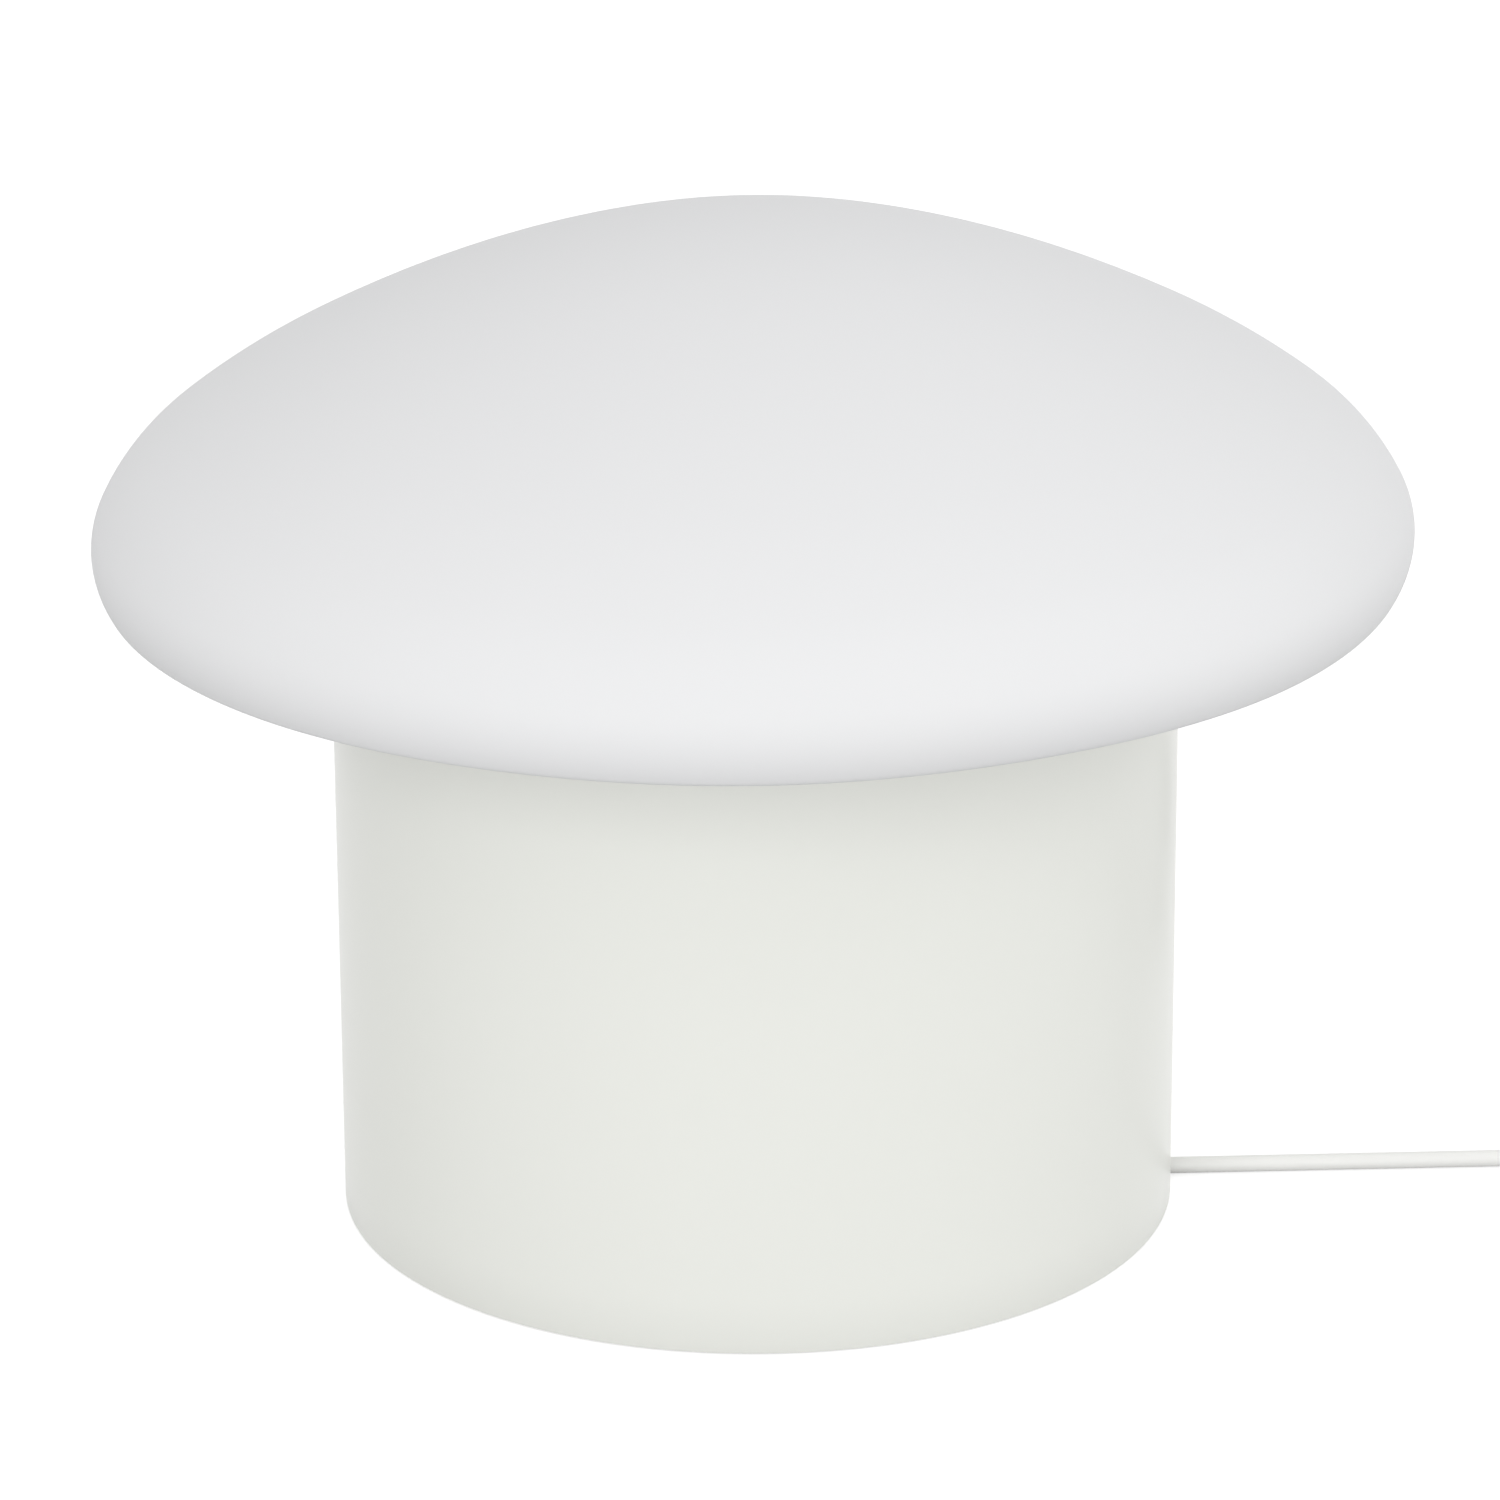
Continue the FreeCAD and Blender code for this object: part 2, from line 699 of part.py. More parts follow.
def make_insert():
    """The insulating insert with its terminals, the brass screw shell and the centre contact."""
    groove = contact_strip_width / 2 + 1.5
    insert = cylinder(insert_radius, insert_low, insert_high)
    insert = insert.cut(block(-insert_radius, insert_radius, -groove, groove, insert_low - 1, insert_low + 3))
    screws = []
    for side in (-1, 1):
        x = side * terminal_offset
        insert = insert.cut(cylinder(terminal_screw_radius + FIT, insert_low, insert_high + 1, x))
        shank = cylinder(terminal_screw_radius, insert_low + 1.5, insert_high - 1.0, x)
        head = cylinder(terminal_head_radius, insert_low, insert_low + 1.5, x)
        slit = block(x - 3, x + 3, -0.3, 0.3, insert_low - 1, insert_low + 0.6)
        screws.append(shank.fuse(head).cut(slit))
    keep("terminal_screws", *screws)

    collar_outer = holder_radius - holder_wall + insert_collar_reach - FIT
    collar = ring(insert_radius - 1, collar_outer, holder_joint - insert_collar, holder_joint)
    keep("holder_insert", insert.fuse(collar))

    outer = screw_shell_radius + screw_shell_wall
    sleeve = ring(screw_shell_radius, outer, insert_high, insert_high + screw_shell_height)
    floor_high = insert_high + screw_shell_floor_thickness
    floor = ring(bulb_cap_radius - screw_shell_floor, outer, insert_high, floor_high)
    keep("screw_shell", sleeve.fuse(floor))

    raised = insert_high + contact_strip_rise
    foot_end = -(bulb_cap_radius - contact_strip_inset)
    strip = polyline([
        (foot_end, insert_high),
        (foot_end + 1.5, insert_high),
        (-2.5, raised),
        (3.0, raised),
        (3.0, raised + contact_strip_thickness),
        (-2.7, raised + contact_strip_thickness),
        (foot_end + 1.3, insert_high + contact_strip_thickness),
        (foot_end, insert_high + contact_strip_thickness),
    ])
    keep("centre_contact", strip.extruded(-contact_strip_width / 2, contact_strip_width / 2))


# ---------------------------------------------------------------- bulb
def make_bulb():
    """The LED bulb: centre tip, insulator, screw cap, housing and opal globe."""
    tip_high = bulb_seat + bulb_tip_height
    cap_low = tip_high + bulb_insulator_height
    cap_high = cap_low + bulb_cap_height
    cap_foot = bulb_cap_radius - 1.5
    keep("bulb_tip", polyline([
        (0, bulb_seat),
        (bulb_tip_radius - 1.5, bulb_seat),
        (bulb_tip_radius, tip_high),
        (0, tip_high),
    ]).turned())
    keep("bulb_insulator", polyline([
        (0, tip_high),
        (bulb_tip_radius + 0.6, tip_high),
        (cap_foot, cap_low),
        (0, cap_low),
    ]).turned())
    keep("bulb_cap", polyline([
        (0, cap_low),
        (cap_foot, cap_low),
        (bulb_cap_radius, cap_low + 1.5),
        (bulb_cap_radius, cap_high),
        (bulb_cap_radius - bulb_cap_wall, cap_high),
        (bulb_cap_radius - bulb_cap_wall, cap_low + 1.6),
        (cap_foot - bulb_cap_wall / 2, cap_low + bulb_cap_wall),
        (0, cap_low + bulb_cap_wall),
    ]).turned())

    top = bulb_seat + bulb_length
    belly = math.radians(bulb_belly_normal)
    belly_x = bulb_globe_radius * math.cos(belly)
    belly_z = top - bulb_globe_radius + bulb_globe_radius * math.sin(belly)
    joint = cap_high + bulb_housing_height
    joint_x = belly_x + (belly_z - joint) * math.tan(belly)
    keep("bulb_housing", polyline([
        (0, cap_high),
        (bulb_cap_radius + bulb_collar_step / 2, cap_high),
        (bulb_cap_radius + bulb_collar_step, cap_high + 3),
        (joint_x, joint),
        (0, joint),
    ]).turned())
    globe = Outline(joint_x, joint)
    globe.line_to(belly_x, belly_z)
    globe.arc(bulb_globe_radius, bulb_belly_normal, 90)
    globe.line_to(0, top - bulb_wall)
    globe.arc(bulb_globe_radius - bulb_wall, 90, bulb_belly_normal)
    globe.line_to(joint_x - bulb_wall, joint)
    keep("bulb_globe", globe.turned())


# ---------------------------------------------------------------- flex, its bush and its grip
def make_bush():
    """A soft bush that lines the notch in the wall, flush outside and with a flange inside."""
    low, high = drum_inner_radius - 10, drum_radius + 10
    web = arch(notch_radius - FIT, low, high)
    flange = arch(notch_radius + bush_flange_reach, low, high)
    bore = arch(flex_diameter / 2 + entry_fit, low, high)
    flange_inner = drum_inner_radius - bush_flange
    web = web.common(ring(flange_inner, drum_radius, 0, drum_radius))
    flange = flange.common(ring(flange_inner, drum_inner_radius - FIT, 0, drum_radius))
    keep("cord_bush", web.fuse(flange).cut(bore))


def make_grip():
    """A moulded saddle that clamps the flex down on the weight, with its two screws."""
    top = grip_height + flex_diameter / 2 + grip_cover
    low, high = grip_station - grip_width / 2, grip_station + grip_width / 2
    saddle = block(low, high, -grip_half_length, grip_half_length, weight_top, top)
    saddle = saddle.makeFillet(grip_edge_radius, [e for e in saddle.Edges if e.BoundBox.ZMin > top - 0.01])
    groove = flex_diameter / 2 + FIT
    crown = Part.makeCylinder(groove, grip_width + 2, Vector(low - 1, 0, grip_height), ALONG_X)
    mouth = block(low - 1, high + 1, -groove, groove, weight_top - 1, grip_height)
    saddle = saddle.cut(crown).cut(mouth)
    for x, y in grip_screw_places:
        saddle = saddle.cut(cylinder(grip_screw_radius + FIT, weight_top - 1, top + 1, x, y))
    keep("cord_grip", saddle)
    screw = pan_screw(grip_screw_radius, top, top - weight_top + 6)
    keep("grip_screws", *[moved(screw, x, y) for x, y in grip_screw_places])


def make_inner_flex():
    """The flex inside the lamp, from the wall through the grip and up the nipple, and its two cores."""
    sheath_end = bracket_top + nipple_above - 1
    make_flex("flex_inside", [
        (drum_radius, 0, flex_rest),
        (slot_end + 27, 0, flex_rest),
        (slot_end + 10, 0, grip_height),
        (0, 0, grip_height),
        (0, 0, sheath_end),
    ])
    cores = []
    for side in (-1, 1):
        near = side * core_spacing / 2
        far = side * (terminal_offset - terminal_head_radius - core_diameter)
        route = [(near, 0, sheath_end), (near, 0, sheath_end + 2.5), (far, 0, insert_low - 2.5),
                 (far, 0, insert_low + 2.0)]
        cores.append(round_tube("core", route_edges("core", route, core_diameter), core_diameter))
    keep("flex_cores", *cores)


# ---------------------------------------------------------------- coil
def coil_radius(turn):
    """Radius of the coil's centre line after a number of turns: steadily in, out, in and out again."""
    radius, way, done = coil_start_radius, -1, 0.0
    for count in coil_turns:
        radius += way * coil_pitch * min(max(turn - done, 0.0), count)
        way = -way
        done += count
    return radius


def coil_height(turn, reversals):
    """Height of the centre line: it climbs one layer in the half turn about each reversal."""
    climbed = sum(min(max((turn - reversal) * 2 + 0.5, 0.0), 1.0) for reversal in reversals)
    return flex_rest + coil_pitch * climbed


def coil_stations():
    """Each quarter turn of the coil, as its point and its direction of travel."""
    reversals = [sum(coil_turns[:layer]) for layer in range(1, len(coil_turns))]
    centre = Vector(link_route[-1][0] + coil_start_radius, link_route[-1][1] + coil_lead, 0)
    total = sum(coil_turns)
    stations = []
    for quarter in range(int(round(total * 4)) + 1):
        turn = quarter / 4
        radius = coil_radius(turn)
        growth = (coil_radius(turn + 0.01) - coil_radius(turn - 0.01)) / 0.02
        climb = 0.0
        if turn in reversals:
            # The middle of a climb, where the steady spiral is eased by an eighth of its pitch.
            radius += math.copysign(coil_pitch / 8, coil_radius(turn + 0.25) - radius)
            climb = 4 * coil_pitch
        if turn in reversals or turn in (0, total):
            growth = 0.0
        angle = math.pi - 2 * math.pi * turn
        out = Vector(math.cos(angle), math.sin(angle), 0)
        along = Vector(math.sin(angle), -math.cos(angle), 0)
        way = along * (2 * math.pi * radius) + out * growth + UP * climb
        point = centre + out * radius + UP * coil_height(turn, reversals)
        stations.append((point, way.normalize()))
    return stations


def least_gap(edges):
    """The least gap between neighbouring turns, measured on points along the centre line."""
    step = 1.5
    points = []
    for edge in edges:
        points += edge.discretize(Number=max(2, int(edge.Length / step)))[:-1]
    half_turn = int(math.pi * coil_start_radius / step)
    pairs = ((a - b).Length for i, a in enumerate(points) for b in points[i + half_turn:])
    return min(pairs) - flex_diameter


def make_coil():
    """The length that is put away: a neat round coil, one unbroken tube. Returns where it ends."""
    stations = coil_stations()
    first, first_way = stations[0]
    last, last_way = stations[-1]
    end = last + last_way * coil_lead
    edges = [Part.LineSegment(first - first_way * coil_lead, first).toShape()]
    for (start, start_way), (stop, stop_way) in zip(stations, stations[1:]):
        edges += biarc(start, start_way, stop, stop_way)
    edges.append(Part.LineSegment(last, end).toShape())
    print("flex_coil least gap to itself", round(least_gap(edges), 3), "mm")
    keep("flex_coil", round_tube("flex_coil", edges, flex_diameter))
    return end


def tail_route(start):
    """The flex from the top of the coil down to the table and up into the plug."""
    x, y, z = start
    return [
        (x, y, z),
        (x, y - 16.0, z),
        (x - 1.0, y - 54.0, flex_rest),
        (x - 3.0, y - 78.0, flex_rest),
        (x - 2.0, y - 104.0, plug_entry_height),
        (x - 2.0, y - 120.0, plug_entry_height),
    ]


# ---------------------------------------------------------------- in-line switch, drawn about its own centre
def switch_prism(inset, low, high):
    """The switch's plan, a bar that narrows to a snout at each end, as a prism."""
    half_length = switch_length / 2 - inset
    half_width = switch_width / 2 - inset
    snout = switch_snout_width / 2 - inset
    quarter = [(snout, half_length), (half_width, switch_shoulder)]
    points = quarter + [(x, -y) for x, y in reversed(quarter)]
    points += [(-x, -y) for x, y in points]
    corners = [Vector(x, y, low) for x, y in points]
    prism = Part.Face(Part.makePolygon(corners + corners[:1])).extrude(UP * (high - low))
    shoulders = [e for e in prism.Edges
                 if e.BoundBox.ZLength > (high - low) / 2 and abs(e.BoundBox.Center.x) > half_width - 0.1]
    return prism.makeFillet(switch_shoulder_radius - inset, shoulders)


def switch_case():
    """The closed case of the switch, hollow, with two screw posts and a round entry at each end."""
    case = switch_prism(0, 0, switch_height)
    rims = [e for e in case.Edges if e.BoundBox.ZMin > switch_height - 0.01 or e.BoundBox.ZMax < 0.01]
    case = case.makeFillet(switch_edge_radius, rims)
    case = case.cut(switch_prism(switch_wall, switch_wall, switch_height - switch_wall))
    for x, y in switch_screw_places:
        case = case.fuse(cylinder(switch_screw_radius + switch_post_wall, switch_wall / 2,
                                  switch_height - switch_wall / 2, x, y))
    half = switch_length / 2 + 1
    for start in (-half, half - 2 * switch_wall):
        mouth = Vector(0, start, switch_entry_height)
        entry = Part.makeCylinder(flex_diameter / 2 + FIT, 2 * switch_wall, mouth, ALONG_Y)
        case = case.cut(entry)
    return case


def make_switch_shells(x, y):
    """The two halves of the case, which meet at the height of the flex."""
    case = switch_case()
    split = switch_entry_height
    far = switch_length
    base = case.common(block(-far, far, -far, far, -1, split - FIT / 2))
    cover = case.common(block(-far, far, -far, far, split + FIT / 2, switch_height + 1))
    for px, py in switch_screw_places:
        base = base.cut(cylinder(switch_screw_radius + FIT, -1, split, px, py))
        base = base.cut(cylinder(2 * switch_screw_radius + FIT, -1, switch_wall, px, py))
        cover = cover.cut(cylinder(switch_screw_radius + FIT, split, split + switch_screw_depth, px, py))
    near = rocker_width / 2 + rocker_gap
    half_window = rocker_length / 2 + rocker_gap
    cover = cover.cut(block(-near, near, -half_window, half_window, split, switch_height + 1))
    ear_outer = near + rocker_axle_reach + 0.2
    half_ear = rocker_ear_width / 2
    for x_low, x_high in ((near, ear_outer), (-ear_outer, -near)):
        cover = cover.fuse(block(x_low, x_high, -half_ear, half_ear, rocker_pivot_height - half_ear,
                                 switch_height - switch_wall / 2))
    cover = cover.cut(axle(rocker_axle_radius + RUNNING_FIT, rocker_width / 2 + rocker_axle_reach + 0.3))
    keep("switch_base", moved(base, x, y))
    keep("switch_cover", moved(cover, x, y))


def axle(radius, reach):
    """A cylinder along X through the rocker's pivot."""
    return Part.makeCylinder(radius, 2 * reach, Vector(-reach, 0, rocker_pivot_height), ALONG_X)


def make_rocker(x, y):
    """The rocker, whose ends are round about its pivot so that they clear the window as it tips."""
    half = rocker_width / 2
    pivot = rocker_pivot_height
    under = pivot - rocker_under
    middle = pivot + rocker_middle_rise
    far = rocker_length
    tip = middle + (rocker_end_rise - rocker_middle_rise) * far / (rocker_length / 2)
    profile = [Vector(-half, -far, under), Vector(-half, far, under), Vector(-half, far, tip),
               Vector(-half, 0, middle), Vector(-half, -far, tip)]
    wedge = Part.Face(Part.makePolygon(profile + profile[:1])).extrude(ALONG_X * rocker_width)
    rocker = axle(rocker_length / 2, half).common(wedge)
    rocker = rocker.fuse(axle(rocker_axle_radius, half + rocker_axle_reach))
    rocker.rotate(Vector(0, 0, pivot), ALONG_X, -rocker_throw / 2)
    keep("switch_rocker", moved(rocker, x, y))


def make_switch_fittings(x, y):
    """The two case screws and the two contacts."""
    screws = []
    shank_top = switch_entry_height + switch_screw_depth - 0.5
    for px, py in switch_screw_places:
        shank = cylinder(switch_screw_radius, switch_wall / 2, shank_top, px, py)
        head = cylinder(2 * switch_screw_radius, 0.4, switch_wall, px, py)
        cross = block(px - 1.5, px + 1.5, py - 0.3, py + 0.3, 0, 1.0)
        cross = cross.fuse(block(px - 0.3, px + 0.3, py - 1.5, py + 1.5, 0, 1.0))
        screws.append(shank.fuse(head).cut(cross))
    keep("switch_screws", *[moved(screw, x, y) for screw in screws])
    contacts = []
    for side in (-1, 1):
        plate = block(-3.0, 3.0, side * 12.0 - 4.0, side * 12.0 + 4.0, switch_wall, switch_wall + 0.8)
        blade = block(-3.0, 3.0, side * 8.4 - 0.4, side * 8.4 + 0.4, switch_wall, switch_wall + 3.2)
        contacts.append(plate.fuse(blade))
    keep("switch_contacts", *[moved(contact, x, y) for contact in contacts])


def make_switch():
    """The in-line switch where the lead ends."""
    x, y = lead_route[-1][0], lead_route[-1][1] + switch_length / 2
    make_switch_shells(x, y)
    make_rocker(x, y)
    make_switch_fittings(x, y)


# ---------------------------------------------------------------- plug
def plug_section(width, height, y, z):
    """A flat six-sided outline with rounded corners, square to Y."""
    half_width, half_height, slope = width / 2, height / 2, height * 0.42
    flat = half_width - slope
    corners = [Vector(x, y, z + dz) for x, dz in [
        (half_width, 0), (flat, half_height), (-flat, half_height),
        (-half_width, 0), (-flat, -half_height), (flat, -half_height)]]
    roundings = []
    for before, corner, after in zip(corners[-1:] + corners[:-1], corners, corners[1:] + corners[:1]):
        way_in = (corner - before).normalize()
        way_out = (after - corner).normalize()
        reach = plug_corner_radius * math.tan(math.acos(way_in.dot(way_out)) / 2)
        roundings.append((corner - way_in * reach, way_in, corner + way_out * reach))
    edges = []
    for (start, way, end), following in zip(roundings, roundings[1:] + roundings[:1]):
        edges.append(arc_edge(start, way, end))
        edges.append(Part.LineSegment(end, following[0]).toShape())
    return Part.Wire(edges)


def make_plug(end):
    """A flat two-pin plug lying on its broad side, with a tapered sleeve where the flex enters."""
    x, y, z = end
    rear = y - plug_sleeve_length
    face = rear - plug_length
    backwards = Vector(0, -1, 0)
    body = Part.makeLoft([
        plug_section(plug_rear_width, plug_rear_height, rear, z),
        plug_section(plug_face_width, plug_face_height, rear - plug_length * plug_flare, z),
        plug_section(plug_face_width, plug_face_height, face, z),
    ], True, True)
    body = body.fuse(Part.makeCone(plug_sleeve_radius, flex_diameter / 2 + plug_sleeve_wall, plug_sleeve_length,
                                   Vector(0, rear, z), ALONG_Y))
    pins = []
    covers = []
    for side in (-1, 1):
        px = side * pin_spacing / 2
        anchor = Vector(px, face + pin_anchor, z)
        core_length = pin_anchor + pin_cover_length
        core = Part.makeCylinder(pin_core_radius, core_length, anchor, backwards)
        tip_base = Vector(px, face - pin_cover_length, z)
        tip = Part.makeCylinder(pin_radius, pin_length - pin_cover_length, tip_base, backwards)
        end_edges = [e for e in tip.Edges if e.BoundBox.YMax < face - pin_length + 0.01]
        tip = tip.makeFillet(pin_tip_radius, end_edges)
        pins.append(core.fuse(tip))
        cover = Part.makeCylinder(pin_core_radius + FIT + pin_cover_wall, pin_cover_length, Vector(px, face, z),
                                  backwards)
        hole = Part.makeCylinder(pin_core_radius + FIT, core_length + FIT, anchor - backwards * FIT, backwards)
        covers.append(cover.cut(hole))
        body = body.cut(hole)
    keep("plug_body", moved(body, x, 0))
    keep("plug_pins", *[moved(pin, x, 0) for pin in pins])
    keep("pin_sleeves", *[moved(cover, x, 0) for cover in covers])


# ---------------------------------------------------------------- all of it
def main():
    """Build each sub-part and write one STEP file for each node."""
    make_drum()
    make_drum_tabs()
    make_drum_screws()
    make_weight()
    make_feet()
    make_seat_ring()
    make_glass()
    make_bracket()
    make_nipple()
    make_holder_cap()
    make_holder_shell()
    make_insert()
    make_bulb()
    make_bush()
    make_grip()
    make_inner_flex()
    make_flex("flex_lead", lead_route)
    make_switch()
    make_flex("flex_link", link_route)
    tail = tail_route(make_coil())
    make_flex("flex_tail", tail)
    make_plug(tail[-1])

    os.makedirs("parts", exist_ok=True)
    for name, shape in PARTS.items():
        shape.exportStep("parts/" + name + ".step")
        print(name, len(shape.Solids), "solids,", round(shape.Volume / 1000, 2), "cm3, valid", shape.isValid())


main()
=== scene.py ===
"""Mushroom table lamp: its finishes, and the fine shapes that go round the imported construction.

Lengths are in metres and angles in degrees. The origin is on the table under the drum's centre, +Z is up,
and the flex leaves the drum towards +X.
"""

import json
import logging
import math
from dataclasses import dataclass
from enum import Enum
from typing import Dict, Iterable, List, Mapping, Optional, Sequence, Tuple, Union

import bmesh
import bpy
from mathutils import Matrix, Vector

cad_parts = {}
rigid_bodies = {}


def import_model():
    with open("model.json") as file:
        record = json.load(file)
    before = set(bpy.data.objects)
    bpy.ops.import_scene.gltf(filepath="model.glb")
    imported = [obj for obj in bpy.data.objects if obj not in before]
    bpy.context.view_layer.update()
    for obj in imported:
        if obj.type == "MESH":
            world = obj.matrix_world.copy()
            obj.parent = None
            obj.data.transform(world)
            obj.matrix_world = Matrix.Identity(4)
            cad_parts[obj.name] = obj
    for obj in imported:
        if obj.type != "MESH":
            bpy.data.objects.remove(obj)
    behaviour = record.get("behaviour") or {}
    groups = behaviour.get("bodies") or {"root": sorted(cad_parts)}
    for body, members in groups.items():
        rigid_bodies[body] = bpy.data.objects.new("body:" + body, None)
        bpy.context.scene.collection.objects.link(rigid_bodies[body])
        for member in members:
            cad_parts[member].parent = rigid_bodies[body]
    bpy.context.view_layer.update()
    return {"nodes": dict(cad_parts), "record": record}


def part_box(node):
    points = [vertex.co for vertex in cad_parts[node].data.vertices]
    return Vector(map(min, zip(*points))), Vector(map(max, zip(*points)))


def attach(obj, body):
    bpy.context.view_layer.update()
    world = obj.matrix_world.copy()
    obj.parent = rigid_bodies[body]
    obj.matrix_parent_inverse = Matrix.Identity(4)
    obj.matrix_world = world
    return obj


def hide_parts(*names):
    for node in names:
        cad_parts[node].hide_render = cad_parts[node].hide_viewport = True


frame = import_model()

LOG = logging.getLogger("mushroom_lamp")

Point = Tuple[float, float, float]
Colour = Tuple[float, float, float]
Piece = bpy.types.Object
Socket = bpy.types.NodeSocket
Material = bpy.types.Material
Mesh = bmesh.types.BMesh
Edge = bmesh.types.BMEdge
Vert = bmesh.types.BMVert

UP = Vector((0.0, 0.0, 1.0))
CENTRE = Vector((0.0, 0.0, 0.0))
HAIR = 1e-6  # vertices nearer than this are one vertex
NEAR = 10 * HAIR  # how far a thread's turns may lie apart, or an edge from its height
FLAT = 0.4  # faces that turn by less than this are one face


# ---------------------------------------------------------------------------- shader graph
class Signal:
    """A number that varies over a surface. Arithmetic on it adds Math nodes to its graph."""

    def __init__(self, graph: "FinishGraph", socket: Socket) -> None:
        """Hold a socket.

        Args:
            graph: The graph that the socket is in.
            socket: An output socket that gives one number.
        """
        self.graph = graph
        self.socket = socket

    def _join(self, operation: str, first: "Level", second: "Level") -> "Signal":
        """Add a Math node.

        Args:
            operation: The node's operation.
            first: Its first number.
            second: Its second number.

        Returns:
            The node's result.
        """
        node = self.graph.node("ShaderNodeMath", {"operation": operation}, {0: first, 1: second})
        return Signal(self.graph, node.outputs[0])

    def __add__(self, other: "Level") -> "Signal":
        """Sum."""
        return self._join("ADD", self, other)

    def __radd__(self, other: float) -> "Signal":
        """Sum, reflected."""
        return self._join("ADD", other, self)

    def __sub__(self, other: "Level") -> "Signal":
        """Difference."""
        return self._join("SUBTRACT", self, other)

    def __rsub__(self, other: float) -> "Signal":
        """Difference, reflected."""
        return self._join("SUBTRACT", other, self)

    def __mul__(self, other: "Level") -> "Signal":
        """Product."""
        return self._join("MULTIPLY", self, other)

    def __rmul__(self, other: float) -> "Signal":
        """Product, reflected."""
        return self._join("MULTIPLY", other, self)

    def above(self, level: float) -> "Signal":
        """1 where the number is above a level, and otherwise 0."""
        return self._join("GREATER_THAN", self, level)

    def at_most(self, level: float) -> "Signal":
        """The number, or a level where that is less."""
        return self._join("MINIMUM", self, level)


Level = Union[Signal, float]


class FinishGraph:
    """The node graph of one material."""

    def __init__(self, name: str) -> None:
        """Start a material.

        Args:
            name: The material's name.
        """
        self.material = bpy.data.materials.new(name)
        self.material.use_nodes = True
        self.tree = self.material.node_tree
        self.surface = self.tree.nodes["Principled BSDF"]
        self.output = self.tree.nodes["Material Output"]

    def node(self, kind: str, settings: Mapping[str, object],
             sockets: Mapping[Union[int, str], object]) -> bpy.types.Node:
        """Add a node.

        Args:
            kind: The node's type.
            settings: Its properties, which are set first; "stops" holds a ramp's (position, colour) pairs.
            sockets: A value, a signal or an output socket for each named or numbered input.

        Returns:
            The node.
        """
        node = self.tree.nodes.new(kind)
        for key, value in settings.items():
            if key != "stops":
                setattr(node, key, value)
                continue
            ramp = node.color_ramp.elements
            while len(ramp) < len(value):
                ramp.new(1.0)
            for stop, (position, colour) in zip(ramp, value):
                stop.position = position
                stop.color = (*colour, 1.0)
        for key, value in sockets.items():
            self.feed(node.inputs[key], value)
        return node

    def feed(self, socket: Socket, value: object) -> None:
        """Link a socket, or set its value.

        Args:
            socket: The input socket.
            value: A signal, an output socket, a colour, a vector or a number.
        """
        if isinstance(value, Signal):
            self.tree.links.new(value.socket, socket)
        elif isinstance(value, Socket):
            self.tree.links.new(value, socket)
        elif socket.type == "RGBA" and len(value) == 3:
            socket.default_value = (*value, 1.0)
        else:
            socket.default_value = value

    def place(self, stretch: Point = (1.0, 1.0, 1.0), shift: Point = (0.0, 0.0, 0.0)) -> Socket:
        """The place on the object in metres, stretched and shifted.

        Args:
            stretch: A factor for each axis.
            shift: Added after the stretch.

        Returns:
            The vector's socket.
        """
        coordinates = self.node("ShaderNodeTexCoord", {}, {})
        sockets = {"Vector": coordinates.outputs["Object"], "Scale": stretch, "Location": shift}
        return self.node("ShaderNodeMapping", {}, sockets).outputs["Vector"]

    def axis(self, letter: str) -> Signal:
        """One coordinate of the place on the object, in metres."""
        node = self.node("ShaderNodeSeparateXYZ", {}, {"Vector": self.place()})
        return Signal(self, node.outputs[letter])

    def noise(self, size: float, detail: float = 2.0, stretch: Point = (1.0, 1.0, 1.0)) -> Signal:
        """Soft random relief.

        Args:
            size: The width of its patches, in metres.
            detail: How many finer layers it has.
            stretch: A factor on the size for each axis.

        Returns:
            A number about 0.5.
        """
        scale = tuple(1.0 / factor for factor in stretch)
        sockets = {"Vector": self.place(scale), "Scale": 1.0 / size, "Detail": detail}
        return Signal(self, self.node("ShaderNodeTexNoise", {}, sockets).outputs[0])

    def mix(self, factor: Level, first: object, second: object) -> Socket:
        """A colour between two colours.

        Args:
            factor: 0 gives the first and 1 gives the second.
            first: A colour or a socket.
            second: A colour or a socket.

        Returns:
            The colour's socket.
        """
        sockets = {0: factor, 6: first, 7: second}
        node = self.node("ShaderNodeMix", {"data_type": "RGBA"}, sockets)
        return node.outputs[2]

    def relief(self, height: Signal, depth: float, below: Optional[Socket] = None) -> Socket:
        """A bump.

        Args:
            height: The relief, from 0 to 1.
            depth: How far it rises, in metres.
            below: The normal of a bump that this one lies on.

        Returns:
            The normal's socket.
        """
        sockets: Dict[Union[int, str], object] = {"Height": height, "Distance": depth, "Strength": 1.0}
        if below is not None:
            sockets["Normal"] = below
        return self.node("ShaderNodeBump", {}, sockets).outputs["Normal"]

    def dress(self, **sockets: object) -> Material:
        """Feed the surface shader.

        Args:
            sockets: Values or links by the shader's socket names, with underscores for spaces.

        Returns:
            The material.
        """
        for name, value in sockets.items():
            self.feed(self.surface.inputs[name.replace("_", " ")], value)
        return self.material


class WorldGraph(FinishGraph):
    """The node graph of the world."""

    def __init__(self, world: bpy.types.World) -> None:
        """Take over a world's nodes.

        Args:
            world: The world.
        """
        self.tree = world.node_tree
        self.surface = self.tree.nodes["Background"]


# ---------------------------------------------------------------------------- finishes
class Sheen(Enum):
    """How smooth a surface is, as its roughness."""

    MATT = 0.62
    SILKY = 0.45
    SATIN = 0.28
    GLOSS = 0.18


